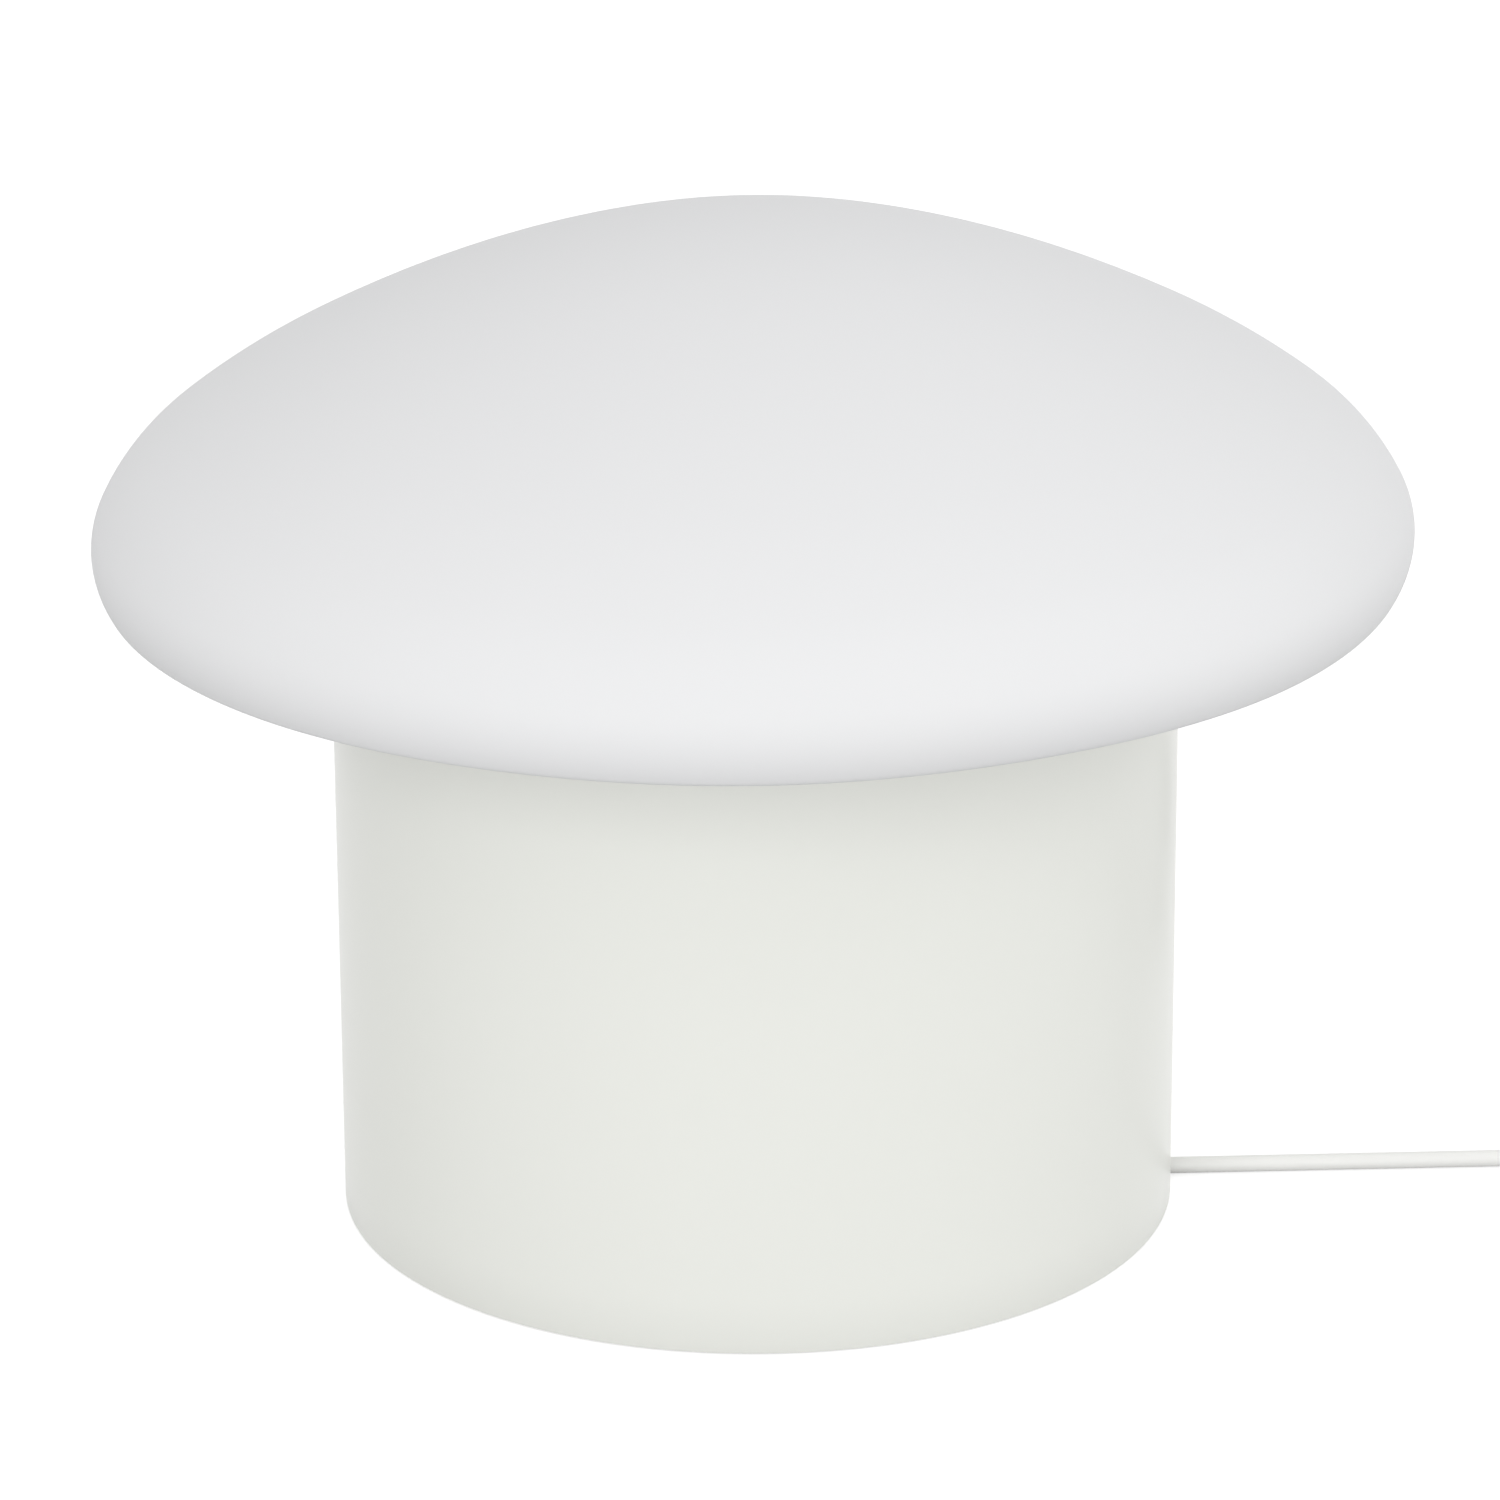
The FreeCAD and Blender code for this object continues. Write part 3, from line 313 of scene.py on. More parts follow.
@dataclass(frozen=True)
class Finish:
    """A finish with a soft drift of colour and a fine grain."""

    name: str
    colour: Colour
    drift: Colour
    sheen: Sheen = Sheen.SATIN
    drift_size: float = 0.03
    drift_detail: float = 2.0
    grain_size: float = 0.0012
    grain_depth: float = 0.00001
    metallic: float = 0.0
    sheen_spread: float = 0.06
    specular: float = 0.5

    def material(self) -> Material:
        """Build the finish, or find it where it has been built."""
        name = "finish_" + self.name
        return bpy.data.materials.get(name) or self.build(FinishGraph(name))

    def build(self, graph: FinishGraph) -> Material:
        """Feed the graph.

        Args:
            graph: An empty graph.

        Returns:
            Its material.
        """
        drift = graph.noise(self.drift_size, self.drift_detail)
        shine, normal = self.touch(graph, drift)
        return graph.dress(
            Base_Color=graph.mix(drift, self.colour, self.drift),
            Roughness=self.sheen.value + (shine - 0.5) * self.sheen_spread,
            Metallic=self.metallic,
            Specular_IOR_Level=self.specular,
            Normal=normal,
        )

    def touch(self, graph: FinishGraph, drift: Signal) -> Tuple[Signal, Socket]:
        """Add the fine relief.

        Args:
            graph: The graph.
            drift: How far the colour has drifted, about 0.5.

        Returns:
            The signal that the roughness follows, and the normal.
        """
        grain = graph.noise(self.grain_size, 1.0)
        return drift, graph.relief(grain, self.grain_depth)


@dataclass(frozen=True)
class OpalGlass(Finish):
    """Cased opal glass, etched to a satin: dense white, with faint sweeps where the gather was turned."""

    sweep_depth: float = 0.00012
    sweep_stretch: Point = (1.0, 1.0, 0.35)

    def touch(self, graph: FinishGraph, drift: Signal) -> Tuple[Signal, Socket]:
        """Add the fine relief.

        Args:
            graph: The graph.
            drift: How far the colour has drifted. It isn't used here.

        Returns:
            The signal that the roughness follows, and the normal.
        """
        sweep = graph.noise(self.drift_size, 1.0, self.sweep_stretch)
        grain = graph.noise(self.grain_size, 2.0)
        rolling = graph.relief(sweep, self.sweep_depth)
        return grain, graph.relief(grain, self.grain_depth, rolling)


@dataclass(frozen=True)
class Plate(Finish):
    """Plated or rolled metal, with fine scratches in one direction."""

    metallic: float = 1.0
    scratch: Point = (1.0, 1.0, 12.0)

    def touch(self, graph: FinishGraph, drift: Signal) -> Tuple[Signal, Socket]:
        """Add the fine relief.

        Args:
            graph: The graph.
            drift: How far the colour has drifted. It isn't used here.

        Returns:
            The signal that the roughness follows, and the normal.
        """
        lines = graph.noise(self.grain_size, 2.0, self.scratch)
        return lines, graph.relief(lines, self.grain_depth)


@dataclass(frozen=True)
class TwoCores(Finish):
    """The insulation of the two cores, one colour on each side of the lamp's middle."""

    def build(self, graph: FinishGraph) -> Material:
        """Feed the graph.

        Args:
            graph: An empty graph.

        Returns:
            Its material.
        """
        side = graph.axis("X").above(0.0)
        return graph.dress(Base_Color=graph.mix(side, self.colour, self.drift), Roughness=self.sheen.value)


# sprayed: the grain is a very shallow orange peel
ENAMEL = Finish("drum_enamel", (0.846, 0.855, 0.809), (0.856, 0.866, 0.821), Sheen.SATIN, drift_size=0.05,
                drift_detail=1.0, grain_size=0.003, grain_depth=0.0000015, sheen_spread=0.02, specular=0.25)
OPAL = OpalGlass("opal_glass", (0.782, 0.785, 0.794), (0.790, 0.792, 0.798), Sheen.MATT, drift_size=0.06,
                 drift_detail=1.0, grain_size=0.0007, grain_depth=0.000004, specular=0.35)
ZINC = Plate("zinc_plate", (0.58, 0.60, 0.62), (0.66, 0.66, 0.65), Sheen.SATIN, grain_size=0.0008)
BRASS = Plate("rolled_brass", (0.70, 0.50, 0.20), (0.76, 0.58, 0.28), Sheen.SATIN, grain_size=0.0006)
BULB_METAL = Plate("bulb_cap_metal", (0.72, 0.72, 0.73), (0.78, 0.78, 0.78), Sheen.SATIN, grain_size=0.0006)
PIN_METAL = Plate("pin_plate", (0.70, 0.69, 0.66), (0.75, 0.74, 0.72), Sheen.GLOSS, grain_size=0.0005,
                  scratch=(1.0, 12.0, 1.0))
CASTING = Finish("stove_black_casting", (0.028, 0.028, 0.030), (0.040, 0.040, 0.041), Sheen.SILKY,
                 grain_size=0.0016, grain_depth=0.00012)
RUBBER = Finish("foot_rubber", (0.022, 0.022, 0.023), (0.034, 0.034, 0.034), Sheen.MATT, grain_size=0.0008,
                grain_depth=0.00003)
SILICONE = Finish("seat_silicone", (0.74, 0.75, 0.75), (0.79, 0.80, 0.79), Sheen.SILKY, grain_size=0.001)
WHITE_RUBBER = Finish("bush_rubber", (0.76, 0.76, 0.74), (0.80, 0.80, 0.78), Sheen.MATT, grain_size=0.0008)
HOLDER = Finish("holder_moulding", (0.77, 0.77, 0.75), (0.80, 0.80, 0.78), Sheen.SILKY, grain_size=0.0006,
                grain_depth=0.00002)
CERAMIC = Finish("insert_ceramic", (0.78, 0.76, 0.71), (0.83, 0.81, 0.76), Sheen.MATT, grain_size=0.0009,
                 grain_depth=0.00003)
GLOBE = Finish("bulb_opal", (0.85, 0.85, 0.83), (0.87, 0.87, 0.86), Sheen.SILKY)
HOUSING = Finish("bulb_housing", (0.80, 0.80, 0.79), (0.83, 0.83, 0.82), Sheen.SATIN)
INSULATION = Finish("bulb_insulation", (0.030, 0.030, 0.034), (0.040, 0.040, 0.044), Sheen.GLOSS)
SHEATH = Finish("flex_sheath", (0.875, 0.875, 0.852), (0.892, 0.892, 0.872), Sheen.SILKY, drift_size=0.012,
                grain_size=0.0006, grain_depth=0.00001)
MOULDING = Finish("switch_moulding", (0.79, 0.79, 0.765), (0.82, 0.82, 0.80), Sheen.SATIN, grain_size=0.0005,
                  grain_depth=0.000015)
BLACK_MOULDING = Finish("grip_moulding", (0.030, 0.030, 0.030), (0.042, 0.042, 0.042), Sheen.SILKY,
                        grain_size=0.0006, grain_depth=0.00002)
CORES = TwoCores("core_insulation", (0.040, 0.110, 0.430), (0.160, 0.060, 0.024), Sheen.SILKY)


# ---------------------------------------------------------------------------- shaping
class Turning:
    """An outline of lines and arcs in the XZ plane that is turned about the Z axis."""

    def __init__(self, radius: float, height: float) -> None:
        """Start at a point.

        Args:
            radius: The distance from the axis.
            height: The height.
        """
        self.mesh = bmesh.new()
        self.first = self.mesh.verts.new((radius, 0.0, height))
        self.last = self.first

    def to(self, radius: float, height: float, parts: int = 1) -> "Turning":
        """Draw a line.

        Args:
            radius: The distance of its end from the axis.
            height: The height of its end.
            parts: How many equal parts the line has.

        Returns:
            The outline.
        """
        start = self.last.co.copy()
        end = Vector((radius, 0.0, height))
        for part in range(1, parts + 1):
            self.reach(start.lerp(end, part / parts))
        return self

    def bend(self, radius: float, start: float, end: float, step: float = 6.0) -> "Turning":
        """Draw an arc from here.

        Args:
            radius: Its radius.
            start: The angle above level of the line from its centre to its start.
            end: The same at its end.
            step: The most that one part of the arc turns.

        Returns:
            The outline.
        """
        parts = max(1, math.ceil(abs(end - start) / step))
        centre = self.last.co - direction(start) * radius
        for part in range(1, parts + 1):
            self.reach(centre + direction(start + (end - start) * part / parts) * radius)
        return self

    def reach(self, place: Vector) -> None:
        """Add a vertex and join it to the last one, unless that one is already there.

        Args:
            place: Where the vertex goes.
        """
        if (place - self.last.co).length > HAIR:
            vertex = self.mesh.verts.new(place)
            self.mesh.edges.new((self.last, vertex))
            self.last = vertex

    def close(self) -> "Turning":
        """Join the last point to the first."""
        self.mesh.edges.new((self.last, self.first))
        return self

    def turned(self, steps: int = 96) -> Mesh:
        """Turn the outline once about the Z axis.

        Args:
            steps: How many parts the turn has.

        Returns:
            The closed mesh.
        """
        mesh = self.mesh
        geometry = [*mesh.verts, *mesh.edges]
        bmesh.ops.spin(mesh, geom=geometry, cent=CENTRE, axis=UP, angle=math.tau, steps=steps, use_merge=True)
        return tidied(mesh)

    def threaded(self, pitch: float, steps: int = 48) -> Mesh:
        """Turn the outline once about the Z axis while it climbs one pitch, and join the turns.

        Args:
            pitch: The climb, which is also the period of the outline.
            steps: How many parts the turn has.

        Returns:
            The open thread, which has ragged ends.
        """
        mesh = self.mesh
        geometry = [*mesh.verts, *mesh.edges]
        climb = UP * (pitch / steps)
        bmesh.ops.spin(mesh, geom=geometry, cent=CENTRE, axis=UP, dvec=climb, angle=math.tau, steps=steps)
        bmesh.ops.remove_doubles(mesh, verts=mesh.verts, dist=NEAR)
        return mesh


def direction(angle: float) -> Vector:
    """The unit vector in the XZ plane at an angle above level."""
    return Vector((math.cos(math.radians(angle)), 0.0, math.sin(math.radians(angle))))


def tidied(mesh: Mesh) -> Mesh:
    """Merge doubled vertices, drop edges that bound no face and point every face outwards.

    Args:
        mesh: The mesh.

    Returns:
        The same mesh.
    """
    bmesh.ops.remove_doubles(mesh, verts=mesh.verts, dist=HAIR)
    loose = [edge for edge in mesh.edges if not edge.link_faces]
    bmesh.ops.delete(mesh, geom=loose, context="EDGES")
    bmesh.ops.recalc_face_normals(mesh, faces=mesh.faces)
    return mesh


def trimmed(mesh: Mesh, low: float, high: float) -> Mesh:
    """Cut a mesh off level at two heights.

    Args:
        mesh: The mesh.
        low: What is under this height goes.
        high: What is over this height goes.

    Returns:
        The same mesh, open where it was cut.
    """
    for height, way in ((low, -UP), (high, UP)):
        geometry = [*mesh.verts, *mesh.edges, *mesh.faces]
        place = UP * height
        bmesh.ops.bisect_plane(mesh, geom=geometry, plane_co=place, plane_no=way, clear_outer=True)
    return mesh


def rim(mesh: Mesh, height: float) -> List[Edge]:
    """The open edges of a mesh at a height."""
    return [edge for edge in mesh.edges
            if edge.is_boundary and all(abs(vertex.co.z - height) < NEAR for vertex in edge.verts)]


def carried(mesh: Mesh, edges: Sequence[Edge], radius: float, height: float) -> List[Edge]:
    """Carry a round open edge on to another radius and height.

    Args:
        mesh: The mesh.
        edges: Its open edge.
        radius: The new radius.
        height: The new height.

    Returns:
        The new open edge.
    """
    made = bmesh.ops.extrude_edge_only(mesh, edges=list(edges))["geom"]
    for vertex in (item for item in made if isinstance(item, Vert)):
        flat = Vector((vertex.co.x, vertex.co.y, 0.0)).normalized() * radius
        vertex.co = flat + UP * height
    return [item for item in made if isinstance(item, Edge) and item.is_boundary]


def ease(value: float) -> float:
    """A smooth step from 0 to 1."""
    value = min(max(value, 0.0), 1.0)
    return value * value * (3.0 - 2.0 * value)


def as_piece(name: str, mesh: Mesh, sharp: float = 32.0) -> Piece:
    """Turn a mesh into a smooth piece of the scene.

    Args:
        name: The piece's name.
        mesh: The mesh, which is freed.
        sharp: Edges that turn by more than this stay sharp.

    Returns:
        The piece, at the origin.
    """
    data = bpy.data.meshes.new(name)
    mesh.to_mesh(data)
    mesh.free()
    data.polygons.foreach_set("use_smooth", [True] * len(data.polygons))
    data.set_sharp_from_angle(angle=math.radians(sharp))
    piece = bpy.data.objects.new(name, data)
    bpy.context.scene.collection.objects.link(piece)
    return piece


def cut_out(piece: Piece, cutter: Mesh) -> Piece:
    """Cut a closed shape out of a piece.

    Args:
        piece: The piece.
        cutter: What is taken away.

    Returns:
        The piece.
    """
    tool = as_piece("cutter", cutter)
    modifier = piece.modifiers.new("cut", "BOOLEAN")
    modifier.operation = "DIFFERENCE"
    modifier.solver = "EXACT"
    modifier.object = tool
    bpy.context.view_layer.update()
    shaped = bpy.data.meshes.new_from_object(piece.evaluated_get(bpy.context.evaluated_depsgraph_get()))
    piece.modifiers.clear()
    piece.data = shaped
    bpy.data.objects.remove(tool)
    return piece


# ---------------------------------------------------------------------------- sub-assemblies
@dataclass
class SubAssembly:
    """What every sub-assembly shares: dressing its pieces and putting them on their bodies."""

    def facts(self, node: str) -> Tuple[str, str]:
        """The body and the material slot of a node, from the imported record.

        Args:
            node: The node's name.

        Returns:
            The body's name and the slot's name.
        """
        record = frame["record"]
        bodies = record["behaviour"]["bodies"]
        body = next(name for name, nodes in bodies.items() if node in nodes)
        slot = next(part["material_slot"] for part in record["subparts"] if part["node"] == node)
        return body, slot

    def seat(self, piece: Piece, finish: Finish, *nodes: str) -> Piece:
        """Dress a piece and let it stand for nodes.

        Args:
            piece: The piece.
            finish: Its finish.
            nodes: The nodes that it replaces, all on one body.

        Returns:
            The piece.
        """
        piece.data.materials.clear()
        piece.data.materials.append(finish.material())
        body, slot = self.facts(nodes[0])
        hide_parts(*nodes)
        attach(piece, body)
        LOG.info("%s rides on %s in %s", piece.name, body, finish.name)
        return piece

    def refine(self, node: str, finish: Finish, edge: float = 0.00015, sharp: float = 30.0) -> Piece:
        """Stand a smooth copy with eased edges in a node's place.

        Args:
            node: The node.
            finish: The copy's finish.
            edge: How far its sharp edges are rounded, or 0.
            sharp: Edges that turn by more than this count as sharp.

        Returns:
            The copy.
        """
        mesh = bmesh.new()
        mesh.from_mesh(frame["nodes"][node].data)
        bmesh.ops.remove_doubles(mesh, verts=mesh.verts, dist=HAIR)
        bmesh.ops.dissolve_limit(mesh, angle_limit=math.radians(FLAT), verts=mesh.verts, edges=mesh.edges)
        corners = [item for item in mesh.edges
                   if len(item.link_faces) == 2 and item.calc_face_angle(0.0) > math.radians(sharp)]
        if edge and corners:
            bmesh.ops.bevel(mesh, geom=corners, offset=edge, offset_type="OFFSET", segments=2, profile=0.5,
                            affect="EDGES", clamp_overlap=True, material=-1)
        piece = self.seat(as_piece(node + "_piece", mesh, sharp), finish, node)
        # flat faces look flat up to their eased edges
        even = piece.modifiers.new("even_normals", "WEIGHTED_NORMAL")
        even.keep_sharp = True
        return piece


@dataclass
class Drum(SubAssembly):
    """The enamelled drum with what closes its foot."""

    wall: float = 0.0015
    rim_bend: float = 0.004
    rim_width: float = 0.012
    hem: float = 0.0004
    notch_radius: float = 0.0034
    notch_height: float = 0.0023
    notch_margin: float = 0.004
    notch_steps: int = 24
    hem_step: float = 45.0
    fold_step: float = 15.0
    wall_parts: int = 12
    turn_steps: int = 240

    def build(self) -> None:
        """Build and place every piece."""
        self.seat(self.shell(), ENAMEL, "drum")
        self.refine("drum_tabs", ENAMEL, 0.0003)
        self.refine("weight", CASTING, 0.0004)
        self.refine("drum_screws", ZINC)
        self.refine("feet", RUBBER, 0.0003)
        self.refine("cord_bush", WHITE_RUBBER, 0.0)

    def shell(self) -> Piece:
        """Make the wall and its turned-in rim, with the notch for the flex.

        Returns:
            The drum, one closed sheet.
        """
        low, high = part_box("drum")
        radius, bottom, top = high.x, low.z, high.z
        inner = radius - self.wall
        opening = radius - self.rim_width
        inner_bend = self.rim_bend - self.wall
        outline = Turning(inner + self.hem, bottom).to(radius - self.hem, bottom)
        outline.bend(self.hem, -90.0, 0.0, self.hem_step).to(radius, top - self.rim_bend, self.wall_parts)
        outline.bend(self.rim_bend, 0.0, 90.0).to(opening + self.hem, top)
        outline.bend(self.hem, 90.0, 180.0, self.hem_step).to(opening, top - self.wall + self.hem)
        outline.bend(self.hem, 180.0, 270.0, self.hem_step).to(inner - inner_bend, top - self.wall)
        outline.bend(inner_bend, 90.0, 0.0, self.fold_step).to(inner, bottom + self.hem, self.wall_parts)
        outline.bend(self.hem, 180.0, 270.0, self.hem_step)
        piece = as_piece("drum_shell", outline.close().turned(self.turn_steps))
        return cut_out(piece, self.notch(inner, radius))

    def notch(self, inner: float, outer: float) -> Mesh:
        """What is cut out of the wall for the flex: round above, straight down to the table.

        Args:
            inner: The inside of the wall.
            outer: The outside of the wall.

        Returns:
            The closed cutter.
        """
        margin = self.notch_margin
        mesh = bmesh.new()
        start = mesh.verts.new((inner - margin, self.notch_radius, -margin))
        corner = mesh.verts.new((inner - margin, self.notch_radius, self.notch_height))
        mesh.edges.new((start, corner))
        centre = Vector((inner, 0.0, self.notch_height))
        along = Vector((1.0, 0.0, 0.0))
        arc = bmesh.ops.spin(mesh, geom=[corner], cent=centre, axis=along, angle=math.pi,
                             steps=self.notch_steps)
        last = next(item for item in arc["geom_last"] if isinstance(item, Vert))
        end = mesh.verts.new((inner - margin, -self.notch_radius, -margin))
        mesh.edges.new((last, end))
        mesh.edges.new((end, start))
        bmesh.ops.contextual_create(mesh, geom=list(mesh.edges))
        made = bmesh.ops.extrude_face_region(mesh, geom=list(mesh.faces))["geom"]
        moved = [item for item in made if isinstance(item, Vert)]
        bmesh.ops.translate(mesh, verts=moved, vec=Vector((outer - inner + 2 * margin, 0.0, 0.0)))
        return tidied(mesh)


@dataclass
class Glass(SubAssembly):
    """The blown opal dome and the ring that it rests on."""

    wall: float = 0.0035
    neck_radius: float = 0.10005
    neck_length: float = 0.012
    neck_fillet: float = 0.004
    neck_edge: float = 0.0009
    lip_bend: float = 0.003
    lip_inner_bend: float = 0.005
    lip_normal: float = -30.4
    arcs: Tuple[Tuple[float, float], ...] = ((0.0187, 25.5), (0.0521, 51.6), (0.2015, 61.3), (0.362, 74.1))
    lean: float = -0.627
    lean_height: float = 0.184
    lean_shift: float = -0.0005
    still_radius: float = 0.112
    free_radius: float = 0.165
    lean_bearing: float = -2.3
    still_height: float = 0.008
    easing_height: float = 0.02
    wave_fade: float = 0.7
    waves: Tuple[Tuple[int, float, float], ...] = (
        (2, 0.00045, 80.0),
        (3, 0.00045, 11.0),
        (5, 0.00030, 34.0),
        (8, 0.00012, -90.0),
    )
    edge_step: float = 30.0
    fillet_step: float = 10.0
    lip_step: float = 8.0
    side_step: float = 4.0
    tight_step: float = 3.0
    crown_step: float = 1.2
    crown_bend: float = 0.1
    floor_parts: int = 16
    neck_parts: int = 2
    turn_steps: int = 240

    def build(self) -> None:
        """Build and place every piece."""
        self.seat(self.dome(), OPAL, "glass_shade")
        self.refine("seat_ring", SILICONE, 0.0003)

    def dome(self) -> Piece:
        """Make the dome with its lip, flat underside and neck.

        Returns:
            The dome, one closed wall.
        """
        low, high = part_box("glass_shade")
        seat = low.z + self.neck_length
        radius = high.x
        edge = self.arcs[0][0]
        lip = direction(self.lip_normal)
        lip_x = radius - edge + (edge - self.lip_bend) * lip.x
        widest = seat + self.lip_bend - (edge - self.lip_bend) * lip.z
        neck_inner = self.neck_radius - self.wall
        outline = Turning(neck_inner + self.neck_edge, low.z).to(self.neck_radius - self.neck_edge, low.z)
        outline.bend(self.neck_edge, -90.0, 0.0, self.edge_step)
        outline.to(self.neck_radius, seat - self.neck_fillet, self.neck_parts)
        outline.bend(self.neck_fillet, 180.0, 90.0, self.fillet_step).to(lip_x, seat, self.floor_parts)
        outline.bend(self.lip_bend, -90.0, self.lip_normal, self.lip_step)
        outline.bend(edge, self.lip_normal, 0.0, self.side_step)
        self.crown(outline, radius, 0.0)
        outline.to(0.0, outline.last.co.z - self.wall)
        inside = Turning(radius - self.wall, widest)
        self.crown(inside, radius, self.wall)
        returning = [vertex.co.copy() for vertex in inside.mesh.verts]
        inside.mesh.free()
        for place in reversed(returning):
            outline.to(place.x, place.z)
        inner_edge = edge - self.wall
        floor = seat + self.wall
        drop = widest - floor - self.lip_inner_bend
        corner = -math.degrees(math.asin(drop / (inner_edge - self.lip_inner_bend)))
        outline.bend(inner_edge, 0.0, corner, self.side_step)
        outline.bend(self.lip_inner_bend, corner, -90.0, self.lip_step)
        fillet = self.neck_fillet + self.wall
        outline.to(neck_inner + fillet, floor, self.floor_parts).bend(fillet, 90.0, 180.0, self.fillet_step)
        outline.to(neck_inner, low.z + self.neck_edge, self.neck_parts)
        outline.bend(self.neck_edge, 180.0, 270.0, self.edge_step)
        return as_piece("glass_dome", self.blown(outline.close().turned(self.turn_steps), seat))

    def crown(self, outline: Turning, radius: float, inset: float) -> None:
        """Draw the dome from its widest point to the axis.

        Args:
            outline: An outline whose last point is the widest point.
            radius: The radius of the dome there, on the outside.
            inset: How far this surface lies inside the outer one.
        """
        start = 0.0
        for bend, end in self.arcs:
            step = self.crown_step if bend > self.crown_bend else self.tight_step
            outline.bend(bend - inset, start, end, step)
            start = end
        closing = outline.last.co.x / math.cos(math.radians(start))
        outline.bend(closing, start, 90.0, self.crown_step)

    def blown(self, mesh: Mesh, seat: float) -> Mesh:
        """Let the dome lean a little on its level underside, and give its lower edge a slight wave.

        Args:
            mesh: The turned dome.
            seat: The height of the underside.

        Returns:
            The same mesh.
        """
        turn = Matrix.Rotation(math.radians(self.lean_bearing), 3, "Z")
        axis = turn @ Vector((0.0, 1.0, 0.0))
        sideways = turn @ Vector((self.lean_shift, 0.0, 0.0))
        tilt = Matrix.Rotation(math.radians(self.lean), 3, axis)
        pivot = UP * self.lean_height
        for vertex in mesh.verts:
            place = vertex.co.copy()
            out = math.hypot(place.x, place.y)
            outward = ease((out - self.still_radius) / (self.free_radius - self.still_radius))
            upward = ease((place.z - seat - self.still_height) / self.easing_height)
            leaning = pivot + tilt @ (place - pivot) + sideways
            vertex.co = place.lerp(leaning, max(outward, upward))
            around = math.atan2(place.y, place.x)
            wave = sum(height * math.sin(count * around + math.radians(phase))
                       for count, height, phase in self.waves)
            vertex.co.z += wave * outward * (1.0 - self.wave_fade * upward)
        return mesh


@dataclass
class Lampholder(SubAssembly):
    """The bridge, the nipple and the lampholder on it."""

    thread_pitch: float = 0.001
    thread_depth: float = 0.0005
    nipple_bore: float = 0.0035
    flutes: int = 36
    flute_depth: float = 0.00035
    flute_low: float = 0.15
    flute_high: float = 0.86
    flute_skin: float = 0.0012
    flute_facets: int = 4
    sleeve_wall: float = 0.0027
    sleeve_taper: float = 0.0015
    sleeve_band: float = 0.004
    mouth_wall: float = 0.002
    mouth_height: float = 0.002
    mouth_bend: float = 0.0006
    mouth_step: float = 30.0
    shell_gauge: float = 0.0004
    shell_floor: float = 0.0035

    def build(self) -> None:
        """Build and place every piece."""
        self.refine("bracket", ZINC, 0.0002)
        self.refine("bracket_screws", ZINC)
        self.refine("nipple_washer", ZINC, 0.0001)
        self.refine("nipple_nut", ZINC, 0.0002)
        self.refine("holder_cap", HOLDER, 0.0002)
        self.refine("holder_insert", CERAMIC, 0.0001)
        self.refine("centre_contact", BRASS, 0.0)
        self.refine("terminal_screws", BRASS, 0.0001)
        self.seat(self.nipple(), ZINC, "nipple")
        self.seat(self.shell(), HOLDER, "holder_shell")
        self.seat(self.screw_shell(), BRASS, "screw_shell")

    def nipple(self) -> Piece:
        """Make the hollow threaded tube.

        Returns:
            The tube.
        """
        low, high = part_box("nipple")
        mesh = thread(high.x, self.thread_depth, self.thread_pitch, low.z, high.z)
        ends = []
        for height in (low.z, high.z):
            ends += carried(mesh, rim(mesh, height), self.nipple_bore, height)
        bmesh.ops.bridge_loops(mesh, edges=ends)
        return as_piece("nipple_tube", tidied(mesh), 50.0)

    def shell(self) -> Piece:
        """Make the tapered upper half of the lampholder, fluted outside for grip.

        Returns:
            The sleeve.
        """
        low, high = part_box("holder_shell")
        radius, bottom, top = high.x, low.z, high.z
        narrow = radius - self.sleeve_taper
        mouth = narrow - self.mouth_wall
        bend = self.mouth_bend
        outline = Turning(radius - self.sleeve_wall, bottom).to(radius, bottom)
        outline.to(radius, bottom + self.sleeve_band, 2)
        outline.to(narrow, top - self.sleeve_band, 10).to(narrow, top - self.mouth_height)
        outline.bend(bend, 0.0, 90.0, self.mouth_step).to(mouth + bend, top)
        outline.bend(bend, 90.0, 180.0, self.mouth_step).to(mouth, top - self.mouth_height)
        mesh = outline.close().turned(self.flutes * self.flute_facets)
        for vertex in mesh.verts:
            out = math.hypot(vertex.co.x, vertex.co.y)
            rise = (vertex.co.z - bottom) / (top - bottom)
            if out > mouth + self.flute_skin and self.flute_low < rise < self.flute_high:
                around = math.atan2(vertex.co.y, vertex.co.x)
                depth = self.flute_depth * (0.5 - 0.5 * math.cos(self.flutes * around))
                vertex.co.x *= 1.0 - depth / out
                vertex.co.y *= 1.0 - depth / out
        return as_piece("holder_sleeve", mesh, 40.0)

    def screw_shell(self) -> Piece:
        """Make the rolled brass shell that the bulb screws into, with its floor ring.

        Returns:
            The shell.
        """
        low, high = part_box("screw_shell")
        outer = high.x
        floor = low.z + self.shell_gauge
        mesh = thread(outer - self.shell_gauge, Bulb.thread_depth, Bulb.thread_pitch, floor, high.z)
        carried(mesh, rim(mesh, floor), outer - self.shell_floor, floor)
        return as_piece("screw_sleeve", rolled(mesh, self.shell_gauge, low.z, high.z), 50.0)


